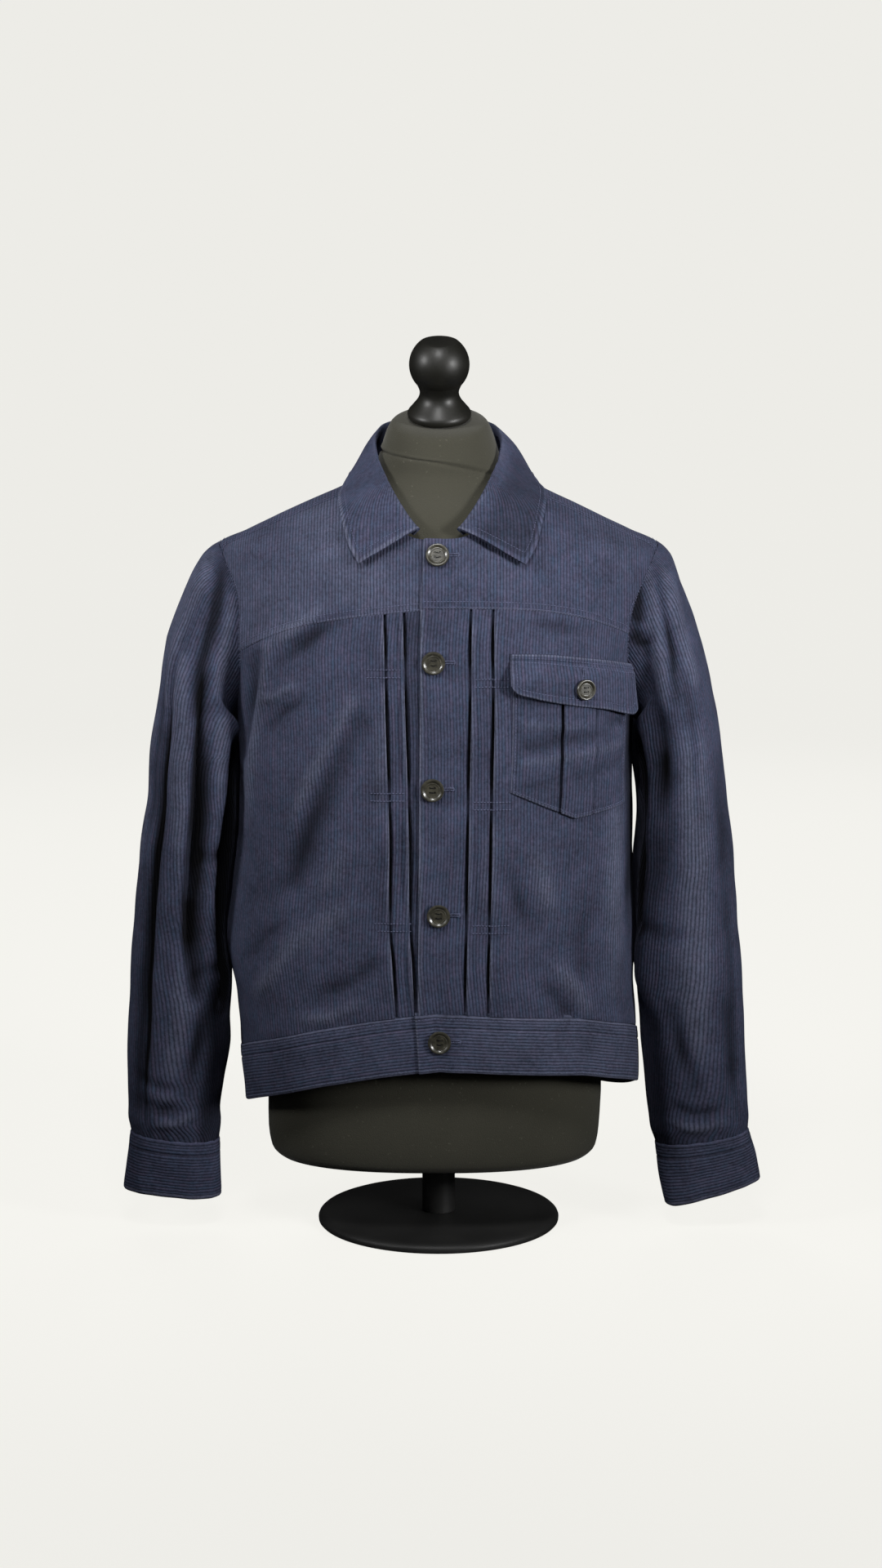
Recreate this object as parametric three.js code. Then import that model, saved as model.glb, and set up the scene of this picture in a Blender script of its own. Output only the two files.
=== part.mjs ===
// A corduroy overshirt, buttoned up, worn on a limbless dress form with a turned knob and a short stand.
// Millimetres, +Z up. The jacket's front faces -Y and +X is the wearer's left. The origin is the middle
// of the stand's underside. Every piece of cloth is a thin closed wall on one smooth body or arm shape.
import * as THREE from 'three';

// ---- Driving dimensions -------------------------------------------------------------------------

const CLOTH = 1.6;            // thickness of one layer of corduroy
const DOUBLE_CLOTH = 2.4;     // thickness of the waistband, cuffs and collar, which are two layers
const SEAM = 0.6;             // space between two pieces that are sewn together
const BAND_HEIGHT = 59;       // waistband, from its seam to the hem
const FRONT_EDGE = { neck: -14, yoke: -17.5, band: -20.5 };   // x of the left front's edge, lapped over
const UNDER_EDGE = 10;        // x of the right front's hidden edge
const LAP_LIFT = 2.4;         // how far the upper layer stands out where the fronts lap
const PLEAT_RISE = 1.9;       // how far a knife pleat's fold stands out from the cloth beside it
const UNDERARM_Z = 532;
const YOKE_SEAM_Z = 656.5;    // front yoke seam at the centre front
const YOKE_END_Z = { left: 624, right: 606 };     // the same seam where it meets each armhole
const BUTTON_RADIUS = 11.6;
const POCKET_BUTTON_RADIUS = 10.4;
const BUTTON_HEIGHT = 4;
const NECK_TILT = THREE.MathUtils.degToRad(16);   // the form's neck cap and knob lean forward
const STAND_RADIUS = 125;

const SIDES = { left: 1, right: -1 };

const CORDUROY = { color: 0x33374f, roughness: 0.95, metalness: 0 };
const JERSEY = { color: 0x2f2e29, roughness: 0.9, metalness: 0 };
const LACQUER = { color: 0x1b1a17, roughness: 0.22, metalness: 0 };
const HORN = { color: 0x3a382f, roughness: 0.35, metalness: 0 };
const STEEL = { color: 0x161616, roughness: 0.5, metalness: 0.2 };

const part = new THREE.Group();

// ---- Smooth tables ------------------------------------------------------------------------------

const clamp = THREE.MathUtils.clamp;
const lerp = THREE.MathUtils.lerp;
const vec = (x, y, z) => new THREE.Vector3(x, y, z);
const evenly = (count) => Array.from({ length: count + 1 }, (_, i) => i / count);
const smooth = (t) => t * t * (3 - 2 * t);

/** Slope of a column at a row, flat at a peak, so that the curve never overshoots its rows. */
function slopeAt(rows, column, i) {
  const secant = (a) => (rows[a + 1][column] - rows[a][column]) / (rows[a + 1][0] - rows[a][0]);
  if (i === 0) return secant(0);
  if (i === rows.length - 1) return secant(rows.length - 2);
  const before = secant(i - 1);
  const after = secant(i);
  return before * after <= 0 ? 0 : (2 * before * after) / (before + after);
}

/** Turns rows into smooth functions of their first column, one for each of the other named columns. */
function smoothTable([, ...names], rows) {
  return (at) => {
    let i = 0;
    while (i < rows.length - 2 && at > rows[i + 1][0]) i += 1;
    const span = rows[i + 1][0] - rows[i][0];
    const t = clamp((at - rows[i][0]) / span, 0, 1);
    const found = {};
    names.forEach((name, k) => {
      const column = k + 1;
      const bend = t * (1 - t) * span;
      found[name] = lerp(rows[i][column], rows[i + 1][column], smooth(t))
        + bend * (slopeAt(rows, column, i) * (1 - t) - slopeAt(rows, column, i + 1) * t);
    });
    return found;
  };
}

// ---- The body of the jacket ---------------------------------------------------------------------

// Level sections of the outside of the filled jacket. Above the shoulder tips the rows close in on the neck.
const bodySection = smoothTable(['z', 'halfWidth', 'front', 'back', 'squareness', 'shift'], [
  [100, 199, 138, 121, 2.7, 2],
  [150, 202, 140, 122, 2.7, 3],
  [190, 204, 140, 122, 2.7, 1],
  [245, 204, 138, 119, 2.8, -3],
  [307, 208, 137, 116, 2.8, -8],
  [359, 205, 136, 114, 2.8, -6],
  [427, 200, 135, 114, 2.9, -3],
  [514, 199, 134, 118, 3.0, -3],
  [560, 201, 133, 122, 3.0, -4],
  [606, 205, 131, 124, 3.0, -5],
  [656, 214, 127, 122, 2.6, -2],
  [690, 221, 120, 116, 2.3, 0],
  [706, 221, 115, 110, 2.2, 0],
  [720, 194, 109, 105, 2.1, 0],
  [735, 163, 100, 97, 2, 0],
  [750, 131, 88, 88, 2, 1],
  [766, 96, 75, 78, 2, 2],
  [777, 77, 68, 72, 2, 1],
  [800, 63, 60, 62, 2, 0],
]);

// Height of the hem round the body, by the angle from +X: -90 is the centre front and 90 the centre back.
const hemHeight = smoothTable(['angle', 'z'], [
  [-90, 194],
  [-42, 185],
  [-27, 174],
  [-3, 151],
  [27, 126],
  [90, 131],
  [153, 124],
  [183, 133],
  [208, 156],
  [229, 176],
  [250, 188],
  [270, 194],
]);

/** How far outside a set of sections a point lies: 0 on the surface, about -1 on the axis. */
function sectionField(section, p) {
  const s = section(p.z);
  const across = Math.abs(p.x - s.shift) / s.halfWidth;
  const deep = Math.abs(p.y) / (p.y < 0 ? s.front : s.back);
  return (across ** s.squareness + deep ** s.squareness) ** (1 / s.squareness) - 1;
}

function gradient(section, p) {
  const step = 0.05;
  const along = (axis) => {
    const ahead = p.clone();
    const behind = p.clone();
    ahead[axis] += step;
    behind[axis] -= step;
    return (sectionField(section, ahead) - sectionField(section, behind)) / (2 * step);
  };
  return vec(along('x'), along('y'), along('z'));
}

/** Outward direction of the body at a point. */
const outward = (p) => gradient(bodySection, p).normalize();

/** Signed distance, near enough, of a point from the body's surface. */
const standOff = (p) => sectionField(bodySection, p) / gradient(bodySection, p).length();

/** Slides a point onto the body's surface. */
function ontoBody(p) {
  const found = p.clone();
  for (let pass = 0; pass < 8; pass += 1) {
    const slope = gradient(bodySection, found);
    found.addScaledVector(slope, -sectionField(bodySection, found) / slope.lengthSq());
  }
  return found;
}

/** Moves a point out until it stands at least a distance off the body. */
function keepOff(p, distance) {
  const found = p.clone();
  for (let pass = 0; pass < 3; pass += 1) {
    const missing = distance - standOff(found);
    if (missing > 0) found.addScaledVector(outward(found), missing);
  }
  return found;
}

/** Point of a section at a height, in the direction of an angle from +X. */
function atAngle(section, degrees, z) {
  const s = section(z);
  const angle = THREE.MathUtils.degToRad(degrees);
  const dx = Math.cos(angle);
  const dy = Math.sin(angle);
  const deep = Math.abs(dy) / (dy < 0 ? s.front : s.back);
  const wide = Math.abs(dx) / s.halfWidth;
  const scale = (wide ** s.squareness + deep ** s.squareness) ** (-1 / s.squareness);
  return vec(s.shift + scale * dx, scale * dy, z);
}

const angleOf = (p) => {
  const degrees = THREE.MathUtils.radToDeg(Math.atan2(p.y, p.x - bodySection(p.z).shift));
  return degrees < -90 ? degrees + 360 : degrees;
};

/** Point of the body at a given x and z, on the front or the back. */
function atX(x, z, facing = -1) {
  const s = bodySection(z);
  const deep = facing < 0 ? s.front : s.back;
  const across = clamp(Math.abs(x - s.shift) / s.halfWidth, 0, 1);
  return vec(x, facing * deep * (1 - across ** s.squareness) ** (1 / s.squareness), z);
}

/** Point of the body at a given y and z, on one side. */
function atY(y, z, side) {
  const s = bodySection(z);
  const deep = Math.abs(y) / (y < 0 ? s.front : s.back);
  return vec(s.shift + side * s.halfWidth * (1 - deep ** s.squareness) ** (1 / s.squareness), y, z);
}

// ---- Seam lines ---------------------------------------------------------------------------------

/** Points along a fine line of points, at given distances from its start. */
function atDistances(line, distances) {
  const lengths = [0];
  for (let i = 1; i < line.length; i += 1) lengths.push(lengths[i - 1] + line[i].distanceTo(line[i - 1]));
  return distances.map((distance) => {
    let i = 1;
    while (i < line.length - 1 && lengths[i] < distance) i += 1;
    const t = (distance - lengths[i - 1]) / (lengths[i] - lengths[i - 1]);
    return ontoBody(line[i - 1].clone().lerp(line[i], t));
  });
}

function lengthOf(line) {
  return line.slice(1).reduce((sum, p, i) => sum + p.distanceTo(line[i]), 0);
}

const evenlyAlong = (line, count) => atDistances(line, evenly(count).map((t) => t * lengthOf(line)));

// How many spans of wall lie along each stretch of seam.
const SPANS = {
  sideSeam: 8,
  frontArmhole: 5,
  frontYokeArmhole: 5,
  backYokeArmhole: 6,
  backArmhole: 5,
  shoulder: 5,
  frontNeck: 6,
  backNeck: 8,
  frontRest: 6,      // front panel, from beside the pleats to the side
};

// Key points of the armhole as y and z, up the front from under the arm and down the back.
const armholeKeys = (sideName) => [
  [0, UNDERARM_Z],
  [-48, 552],
  [-73, YOKE_END_Z[sideName]],
  [-63, 666],
  [-30, 699],
  [8, 707],
  [46, 694],
  [72, 640],
  [58, 574],
];
const ARMHOLE_CORNERS = { underarm: 0, yokeFront: 2, shoulder: 4, yokeBack: 7, end: 9 };

/** One stretch of an armhole, between two of its key points. */
function armhole(sideName, from, to, spans) {
  const keys = armholeKeys(sideName).map(([y, z]) => vec(0, y, z));
  const loop = new THREE.CatmullRomCurve3(keys, true, 'centripetal');
  const first = ARMHOLE_CORNERS[from];
  const last = ARMHOLE_CORNERS[to];
  return evenly(spans).map((t) => {
    const p = loop.getPoint(lerp(first, last, t) / keys.length);
    return atY(p.y, p.z, SIDES[sideName]);
  });
}

const bandSeamZ = (p) => hemHeight(angleOf(p)).z + BAND_HEIGHT;

/** A fine line round the body along the top of the waistband, between two angles. */
function bandSeam(fromAngle, toAngle) {
  return evenly(120).map((t) => {
    const angle = lerp(fromAngle, toAngle, t);
    return atAngle(bodySection, angle, hemHeight(angle).z + BAND_HEIGHT);
  });
}

const sideAngle = (sideName) => (sideName === 'left' ? 2 : 178);
const frontEdgeX = (sideName, level) => (sideName === 'left' ? FRONT_EDGE[level] : UNDER_EDGE);

/** The side seam, from the waistband up to the underarm. */
function sideSeam(sideName) {
  const foot = bandSeam(sideAngle(sideName), sideAngle(sideName))[0];
  const top = atY(0, UNDERARM_Z, SIDES[sideName]);
  return evenly(SPANS.sideSeam).map((t) => ontoBody(foot.clone().lerp(top, t)));
}

/** The front yoke seam as a fine line, from the front edge to the armhole, where it drops. */
function yokeSeam(sideName) {
  const side = SIDES[sideName];
  const end = atY(-73, YOKE_END_Z[sideName], side);
  const start = frontEdgeX(sideName, 'yoke');
  return evenly(100).map((t) => {
    const z = lerp(YOKE_SEAM_Z, YOKE_END_Z[sideName], t ** 4);
    return t === 1 ? end : atX(lerp(start, end.x, t), z);
  });
}

// The neckline from the centre front to the shoulder seam, and on to the centre back.
const NECK_FRONT_Z = 722;
function frontNeckline(sideName) {
  const side = SIDES[sideName];
  const keys = [
    atX(frontEdgeX(sideName, 'neck'), NECK_FRONT_Z),
    atX(side * 23, NECK_FRONT_Z + 1),
    atX(side * 48, 736),
    atX(side * 65, 754),
    atX(side * 71, 771),
  ];
  return new THREE.CatmullRomCurve3(keys).getPoints(60);
}
function backNeckline() {
  const keys = [71, 77, 62, 34, 0, -34, -62, -77, -71].map((x, i) => {
    if (i === 0 || i === 8) return atX(x, 771);
    if (i === 1 || i === 7) return atY(0, 777, Math.sign(x));
    return atX(x, 777.5, 1);
  });
  return new THREE.CatmullRomCurve3(keys).getPoints(120);
}

/** The shoulder seam, a little in front of the ridge, from the neck to the armhole. */
function shoulderSeam(sideName) {
  const start = frontNeckline(sideName).at(-1);
  const end = atY(-30, 699, SIDES[sideName]);
  return evenly(60).map((t) => ontoBody(start.clone().lerp(end, t)));
}

/** Back yoke seam, level across the shoulder blades, from the left armhole to the right. */
function backYokeSeam() {
  const left = atY(72, 640, 1);
  const right = atY(72, 640, -1);
  return evenly(120).map((t) => atX(lerp(left.x, right.x, t), 640, 1));
}

// ---- Walls --------------------------------------------------------------------------------------

/** Adds a mesh to the part. */
function addPiece(name, geometry, finish) {
  const mesh = new THREE.Mesh(geometry, new THREE.MeshStandardMaterial(finish));
  mesh.name = name;
  part.add(mesh);
  return mesh;
}

function signedVolume(points, faces) {
  return faces.reduce((sum, [a, b, c]) => sum + points[a].dot(points[b].clone().cross(points[c])) / 6, 0);
}

function solidGeometry(points, faces) {
  const facingOut = signedVolume(points, faces) > 0 ? faces : faces.map(([a, b, c]) => [a, c, b]);
  const geometry = new THREE.BufferGeometry();
  geometry.setAttribute('position', new THREE.Float32BufferAttribute(points.flatMap((p) => p.toArray()), 3));
  geometry.setIndex(facingOut.flat());
  geometry.computeVertexNormals();
  return geometry;
}

/** A closed wall between two grids of points. A tube's last column joins its first. */
function wallGeometry(outer, inner, tube = false) {
  const rows = outer.length;
  const columns = outer[0].length;
  const points = [...outer.flat(), ...inner.flat()];
  const out = (r, c) => r * columns + (c % columns);
  const into = (r, c) => rows * columns + out(r, c);
  const faces = [];
  const quad = (a, b, c, d) => faces.push([a, b, c], [a, c, d]);
  const spans = tube ? columns : columns - 1;
  for (let r = 0; r < rows - 1; r += 1) {
    for (let c = 0; c < spans; c += 1) {
      quad(out(r, c), out(r, c + 1), out(r + 1, c + 1), out(r + 1, c));
      quad(into(r, c), into(r + 1, c), into(r + 1, c + 1), into(r, c + 1));
    }
  }
  for (let c = 0; c < spans; c += 1) {
    quad(out(0, c), into(0, c), into(0, c + 1), out(0, c + 1));
    quad(out(rows - 1, c), out(rows - 1, c + 1), into(rows - 1, c + 1), into(rows - 1, c));
  }
  if (!tube) {
    for (let r = 0; r < rows - 1; r += 1) {
      quad(out(r, 0), out(r + 1, 0), into(r + 1, 0), into(r, 0));
      quad(out(r, spans), into(r, spans), into(r + 1, spans), out(r + 1, spans));
    }
  }
  return solidGeometry(points, faces);
}

/** Fills four edges with a grid: bottom and top run along its rows, start and end along its columns. */
function spanEdges(bottom, top, start, end) {
  const lastRow = start.length - 1;
  const lastColumn = bottom.length - 1;
  return start.map((_, r) => bottom.map((__, c) => {
    const v = r / lastRow;
    const u = (bottom[0].distanceTo(bottom[c]) / bottom[0].distanceTo(bottom[lastColumn])
      + top[0].distanceTo(top[c]) / top[0].distanceTo(top[lastColumn])) / 2;
    if (r === 0) return bottom[c].clone();
    if (r === lastRow) return top[c].clone();
    if (c === 0) return start[r].clone();
    if (c === lastColumn) return end[r].clone();
    const along = bottom[c].clone().lerp(top[c], v);
    const across = start[r].clone().lerp(end[r], u);
    const corners = bottom[0].clone().lerp(bottom[lastColumn], u)
      .lerp(top[0].clone().lerp(top[lastColumn], u), v);
    return along.add(across).sub(corners);
  }));
}

/** Draws the rim of a grid in by half a seam, so that neighbours stand a seam apart. */
function trimRim(grid, amount) {
  const lastRow = grid.length - 1;
  const lastColumn = grid[0].length - 1;
  const toward = (from, to) => to.clone().sub(from).setLength(amount);
  return grid.map((row, r) => row.map((p, c) => {
    const moved = p.clone();
    if (r === 0) moved.add(toward(p, grid[1][c]));
    if (r === lastRow) moved.add(toward(p, grid[r - 1][c]));
    if (c === 0) moved.add(toward(p, row[1]));
    if (c === lastColumn) moved.add(toward(p, row[c - 1]));
    return moved;
  }));
}

/** Adds a panel of the body. Its wall goes inward; a lifted column moves out whole, a pleat only outside. */
function addBodyPanel(name, edges, columns = []) {
  const grid = trimRim(spanEdges(...edges), SEAM / 2).map((row) => row.map(ontoBody));
  const move = (distance) => grid.map((row) => row.map((p, c) => (
    p.clone().addScaledVector(outward(p), distance(columns[c] ?? { lift: 0, pleat: 0 })))));
  const outer = move(({ lift, pleat }) => lift + pleat);
  const inner = move(({ lift }) => lift - CLOTH);
  return addPiece(name, wallGeometry(outer, inner), CORDUROY);
}

// ---- Fronts, yokes and back ---------------------------------------------------------------------

// Columns of each front panel: how far along the yoke seam and the waistband seam each starts from the
// front edge, how far it is lifted for the lap, and how far a pleat's fold rises there.
const frontColumns = (rows) => rows.map(([yoke, band, lift, pleat]) => ({ yoke, band, lift, pleat }));
const FRONT_COLUMNS = {
  left: frontColumns([
    [0, 0, LAP_LIFT, 0],
    [14, 14, LAP_LIFT, 0],
    [29, 30, LAP_LIFT, 0],
    [49.6, 47.6, 0, 0],
    [50.5, 48.5, 0, PLEAT_RISE],
    [71.6, 70.6, 0, 0.2],
    [72.5, 71.5, 0, PLEAT_RISE],
    [96, 96, 0, 0],
  ]),
  right: frontColumns([
    [0, 0, 0, 0],
    [15, 12, 0, 0],
    [30, 24, 0, 0],
    [44.1, 33.1, 0, 0],
    [45, 34, 0, PLEAT_RISE],
    [63.1, 52.1, 0, 0.2],
    [64, 53, 0, PLEAT_RISE],
    [88, 82, 0, 0],
  ]),
};

/** Distances of all a front's columns along one of its seams, those past the pleats spread evenly. */
function columnDistances(sideName, seam, line) {
  const placed = FRONT_COLUMNS[sideName].map((column) => column[seam]);
  const last = placed.at(-1);
  const rest = evenly(SPANS.frontRest).slice(1).map((t) => lerp(last, lengthOf(line), t));
  return [...placed, ...rest];
}

/** A front's stretch of the waistband seam, from its front edge to its side. */
function frontBandLine(sideName) {
  const fromFront = angleOf(atX(frontEdgeX(sideName, 'band'), 250));
  const from = fromFront > 180 ? fromFront - 360 : fromFront;
  return bandSeam(sideName === 'left' ? from : from + 360, sideAngle(sideName));
}

const bandNodes = {};        // the waistband seam's points, shared with the waistband
for (const sideName of Object.keys(SIDES)) {
  const top = yokeSeam(sideName);
  const foot = frontBandLine(sideName);
  const bottomEdge = atDistances(foot, columnDistances(sideName, 'band', foot));
  const topEdge = atDistances(top, columnDistances(sideName, 'yoke', top));
  const armholeEdge = armhole(sideName, 'underarm', 'yokeFront', SPANS.frontArmhole);
  const outerEdge = [...sideSeam(sideName), ...armholeEdge.slice(1)];
  const frontEdge = outerEdge.map((_, i) => (
    ontoBody(bottomEdge[0].clone().lerp(topEdge[0], i / (outerEdge.length - 1)))));
  addBodyPanel(`front_${sideName}`, [bottomEdge, topEdge, frontEdge, outerEdge], FRONT_COLUMNS[sideName]);
  bandNodes[sideName] = bottomEdge;

  // The yoke shares the panel's seam points, but for the ones that only shape a fold.
  const folds = [3, 5];
  const unfolded = (_, i) => !folds.includes(i);
  const yokeBottom = topEdge.filter(unfolded);
  const yokeTop = [
    ...evenlyAlong(frontNeckline(sideName), SPANS.frontNeck),
    ...evenlyAlong(shoulderSeam(sideName), SPANS.shoulder).slice(1),
  ];
  const yokeOuter = armhole(sideName, 'yokeFront', 'shoulder', SPANS.frontYokeArmhole);
  const yokeFront = yokeOuter.map((_, i) => (
    ontoBody(yokeBottom[0].clone().lerp(yokeTop[0], i / (yokeOuter.length - 1)))));
  const lifts = FRONT_COLUMNS[sideName].filter(unfolded).map(({ lift }) => ({ lift, pleat: 0 }));
  addBodyPanel(`front_yoke_${sideName}`, [yokeBottom, yokeTop, yokeFront, yokeOuter], lifts);
}

const yokeBackTop = [
  ...evenlyAlong(shoulderSeam('left'), SPANS.shoulder).reverse(),
  ...evenlyAlong(backNeckline(), SPANS.backNeck).slice(1, -1),
  ...evenlyAlong(shoulderSeam('right'), SPANS.shoulder),
];
const yokeBackBottom = evenlyAlong(backYokeSeam(), 2 * SPANS.shoulder + SPANS.backNeck);
addBodyPanel('back_yoke', [
  yokeBackBottom,
  yokeBackTop,
  armhole('left', 'shoulder', 'yokeBack', SPANS.backYokeArmhole).reverse(),
  armhole('right', 'shoulder', 'yokeBack', SPANS.backYokeArmhole).reverse(),
]);

const backOuter = (sideName) => [
  ...sideSeam(sideName),
  ...armhole(sideName, 'yokeBack', 'end', SPANS.backArmhole).reverse().slice(1),
];
bandNodes.back = evenlyAlong(bandSeam(sideAngle('left'), sideAngle('right')), yokeBackBottom.length - 1);
addBodyPanel('back_panel', [bandNodes.back, yokeBackBottom, backOuter('left'), backOuter('right')]);

// ---- Waistband ----------------------------------------------------------------------------------

const BAND_PROUD = 0.8;       // the waistband's outside stands this far out from the panels above it
const BAND_ROWS = [0, 0.5, 1];

// One strip: from the hidden end under the lap, round the back, to the buttonholed end on top.
const BAND_LAP_LIFT = DOUBLE_CLOTH + 0.6;
const lapLifts = FRONT_COLUMNS.left.map(({ lift }) => (lift ? BAND_LAP_LIFT : 0));
const bandStrip = [
  ...bandNodes.right.map((p) => ({ p, lift: 0 })),
  ...bandNodes.back.slice(1, -1).reverse().map((p) => ({ p, lift: 0 })),
  ...bandNodes.left.map((p, i) => ({ p, lift: lapLifts[i] ?? 0 })).reverse(),
].filter(({ p }, i, all) => i === 0 || p.distanceTo(all[i - 1].p) > 2);

function bandWall(standing) {
  return BAND_ROWS.map((down) => bandStrip.map(({ p, lift }) => {
    const angle = angleOf(p);
    const z = bandSeamZ(p) - SEAM / 2 - down * (BAND_HEIGHT - SEAM / 2);
    const on = atAngle(bodySection, angle, z);
    return on.addScaledVector(outward(on), lift + standing);
  }));
}
addPiece('waistband', wallGeometry(bandWall(BAND_PROUD), bandWall(BAND_PROUD - DOUBLE_CLOTH)), CORDUROY);

// ---- Sleeves and cuffs --------------------------------------------------------------------------

// Sections of each sleeve from shoulder to cuff, by their outermost and innermost points (distance from
// the middle of the jacket, and height), the y of their middle and their half depth from front to back.
const SLEEVE_COLUMNS = ['outX', 'outZ', 'inX', 'inZ', 'midY', 'depth'];
const SLEEVE_ROWS = {
  left: [
    [232, 697, 200, 528, 0, 77],
    [246, 662, 202, 520, -1, 81],
    [264, 612, 204, 508, -3, 84],
    [277, 556, 204, 490, -5, 84],
    [286, 500, 204, 466, -7, 82],
    [292, 450, 203, 427, -9, 79],
    [298, 400, 204, 384, -11, 74],
    [303, 350, 205, 339, -12, 69],
    [307, 300, 205, 293, -13, 63],
    [311, 250, 206, 245, -14, 57],
    [314, 205, 209, 198, -15, 52],
    [316, 160, 214, 152, -16, 47],
    [318, 125, 220, 114, -17, 43],
    [318, 103, 225, 90, -18, 39],
  ],
  right: [
    [235, 697, 206, 528, 0, 77],
    [254, 662, 208, 520, -1, 81],
    [271, 616, 209, 508, -3, 84],
    [281, 560, 209, 490, -5, 84],
    [288, 505, 208, 466, -7, 82],
    [293, 455, 209, 427, -9, 79],
    [301, 405, 213, 388, -11, 74],
    [307, 358, 218, 344, -12, 69],
    [311, 308, 220, 297, -13, 63],
    [315, 258, 217, 248, -14, 57],
    [317, 210, 215, 200, -15, 52],
    [319, 165, 222, 155, -16, 47],
    [318, 125, 228, 118, -17, 43],
    [316, 102, 228, 93, -18, 39],
  ],
};
const CUFF_END = { left: [329.5, 52, 238, 25, -22, 38], right: [322, 42, 229.5, 34, -22, 38] };

// Long soft creases: where round the sleeve (0 beside the body, 90 in front, 180 outside) at each end,
// how wide, the sections they run between and how deep. A negative depth is a ridge.
const CREASE_COLUMNS = ['fromAngle', 'toAngle', 'width', 'fromRow', 'toRow', 'depth'];
const SLEEVE_CREASES = {
  left: [
    [58, 60, 16, 1, 7, 9],
    [120, 105, 14, 0, 6, 4],
    [250, 262, 18, 2, 9, 8],
    [140, 135, 16, 7, 12, 3],
  ],
  right: [
    [86, 88, 14, 1, 10, 12],
    [42, 48, 15, 3, 11, 11],
    [140, 138, 9, 4, 12, 5],
    [255, 265, 18, 2, 9, 8],
  ],
};
const SLEEVE_SQUARENESS = 2.2;

const named = (names, row) => Object.fromEntries(names.map((name, i) => [name, row[i]]));
const power = (value, exponent) => Math.sign(value) * Math.abs(value) ** exponent;

/** Point of one sleeve section, at an angle round it. */
function sleevePoint(sideName, row, angle) {
  const side = SIDES[sideName];
  const s = named(SLEEVE_COLUMNS, row);
  const round = THREE.MathUtils.degToRad(angle);
  const inward = power(Math.cos(round), 2 / SLEEVE_SQUARENESS);
  const forward = power(Math.sin(round), 2 / SLEEVE_SQUARENESS);
  const x = (s.outX + s.inX) / 2 - inward * (s.outX - s.inX) / 2;
  const z = (s.outZ + s.inZ) / 2 - inward * (s.outZ - s.inZ) / 2;
  return vec(side * x, s.midY - forward * s.depth, z);
}

/** The whole armhole as a closed loop, with each point's place round it in degrees. */
function armholeLoop(sideName) {
  const stretch = (from, to, spans) => armhole(sideName, from, to, spans).slice(0, -1);
  const loop = [
    ...stretch('underarm', 'yokeFront', SPANS.frontArmhole),
    ...stretch('yokeFront', 'shoulder', SPANS.frontYokeArmhole),
    ...stretch('shoulder', 'yokeBack', SPANS.backYokeArmhole),
    ...stretch('yokeBack', 'end', SPANS.backArmhole),
  ];
  const total = lengthOf([...loop, loop[0]]);
  let walked = 0;
  return loop.map((p, i) => {
    if (i > 0) walked += p.distanceTo(loop[i - 1]);
    return { p, angle: (360 * walked) / total };
  });
}

/** How deep the creases press into a sleeve at a section and an angle. */
function creaseDepth(sideName, row, angle) {
  return SLEEVE_CREASES[sideName].map((crease) => named(CREASE_COLUMNS, crease)).reduce((sum, c) => {
    const along = (row - c.fromRow) / (c.toRow - c.fromRow);
    if (along <= 0 || along >= 1) return sum;
    const away = (angle - lerp(c.fromAngle, c.toAngle, along)) / c.width;
    return sum + c.depth * Math.sin(Math.PI * along) ** 0.6 * Math.exp(-away * away);
  }, 0);
}

/** Outward normals of a tube's grid of points, from its neighbours. */
function gridNormals(grid, tube) {
  const lastRow = grid.length - 1;
  const count = grid[0].length;
  return grid.map((row, r) => row.map((_, c) => {
    const wrap = (i) => (tube ? (i + count) % count : clamp(i, 0, count - 1));
    const across = row[wrap(c + 1)].clone().sub(row[wrap(c - 1)]);
    const down = grid[Math.min(r + 1, lastRow)][c].clone().sub(grid[Math.max(r - 1, 0)][c]);
    return across.cross(down).normalize();
  }));
}

/** Moves a grid of points along its normals. */
const moved = (grid, normals, distance) => grid.map((row, r) => row.map((p, c) => (
  p.clone().addScaledVector(normals[r][c], distance))));

for (const sideName of Object.keys(SIDES)) {
  const side = SIDES[sideName];
  const loop = armholeLoop(sideName);
  const rows = SLEEVE_ROWS[sideName];
  const smoothGrid = [loop.map(({ p }) => p), ...rows.map((row) => (
    loop.map(({ angle }) => sleevePoint(sideName, row, angle))))];
  const smoothNormals = gridNormals(smoothGrid, true);
  const outSign = side > 0 ? -1 : 1;      // the grid's normals point in on one side and out on the other
  const grid = smoothGrid.map((row, r) => row.map((p, c) => (
    p.clone().addScaledVector(smoothNormals[r][c], -outSign * creaseDepth(sideName, r - 1, loop[c].angle)))));
  const lastRow = grid.length - 1;
  grid[0] = grid[0].map((p, c) => (
    p.clone().add(grid[1][c].clone().sub(p).setLength(SEAM / 2)).addScaledVector(outward(p), SEAM / 2)));
  const normals = gridNormals(grid, true);
  const inner = moved(grid, normals, -outSign * CLOTH);
  addPiece(`sleeve_${sideName}`, wallGeometry(grid, inner, true), CORDUROY);

  // The cuff: a straight band of two layers that takes in the sleeve's end.
  const top = grid[lastRow];
  const end = loop.map(({ angle }) => sleevePoint(sideName, CUFF_END[sideName], angle));
  const cuffRows = [0, 0.5, 1].map((t) => top.map((p, c) => p.clone().lerp(end[c], t)));
  cuffRows[0] = cuffRows[0].map((p, c) => p.clone().add(end[c].clone().sub(p).setLength(SEAM)));
  const cuffNormals = gridNormals(cuffRows, true);
  addPiece(`cuff_${sideName}`, wallGeometry(
    moved(cuffRows, cuffNormals, outSign * BAND_PROUD),
    moved(cuffRows, cuffNormals, outSign * (BAND_PROUD - DOUBLE_CLOTH)),
    true,
  ), CORDUROY);
}

// ---- Collar -------------------------------------------------------------------------------------

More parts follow.
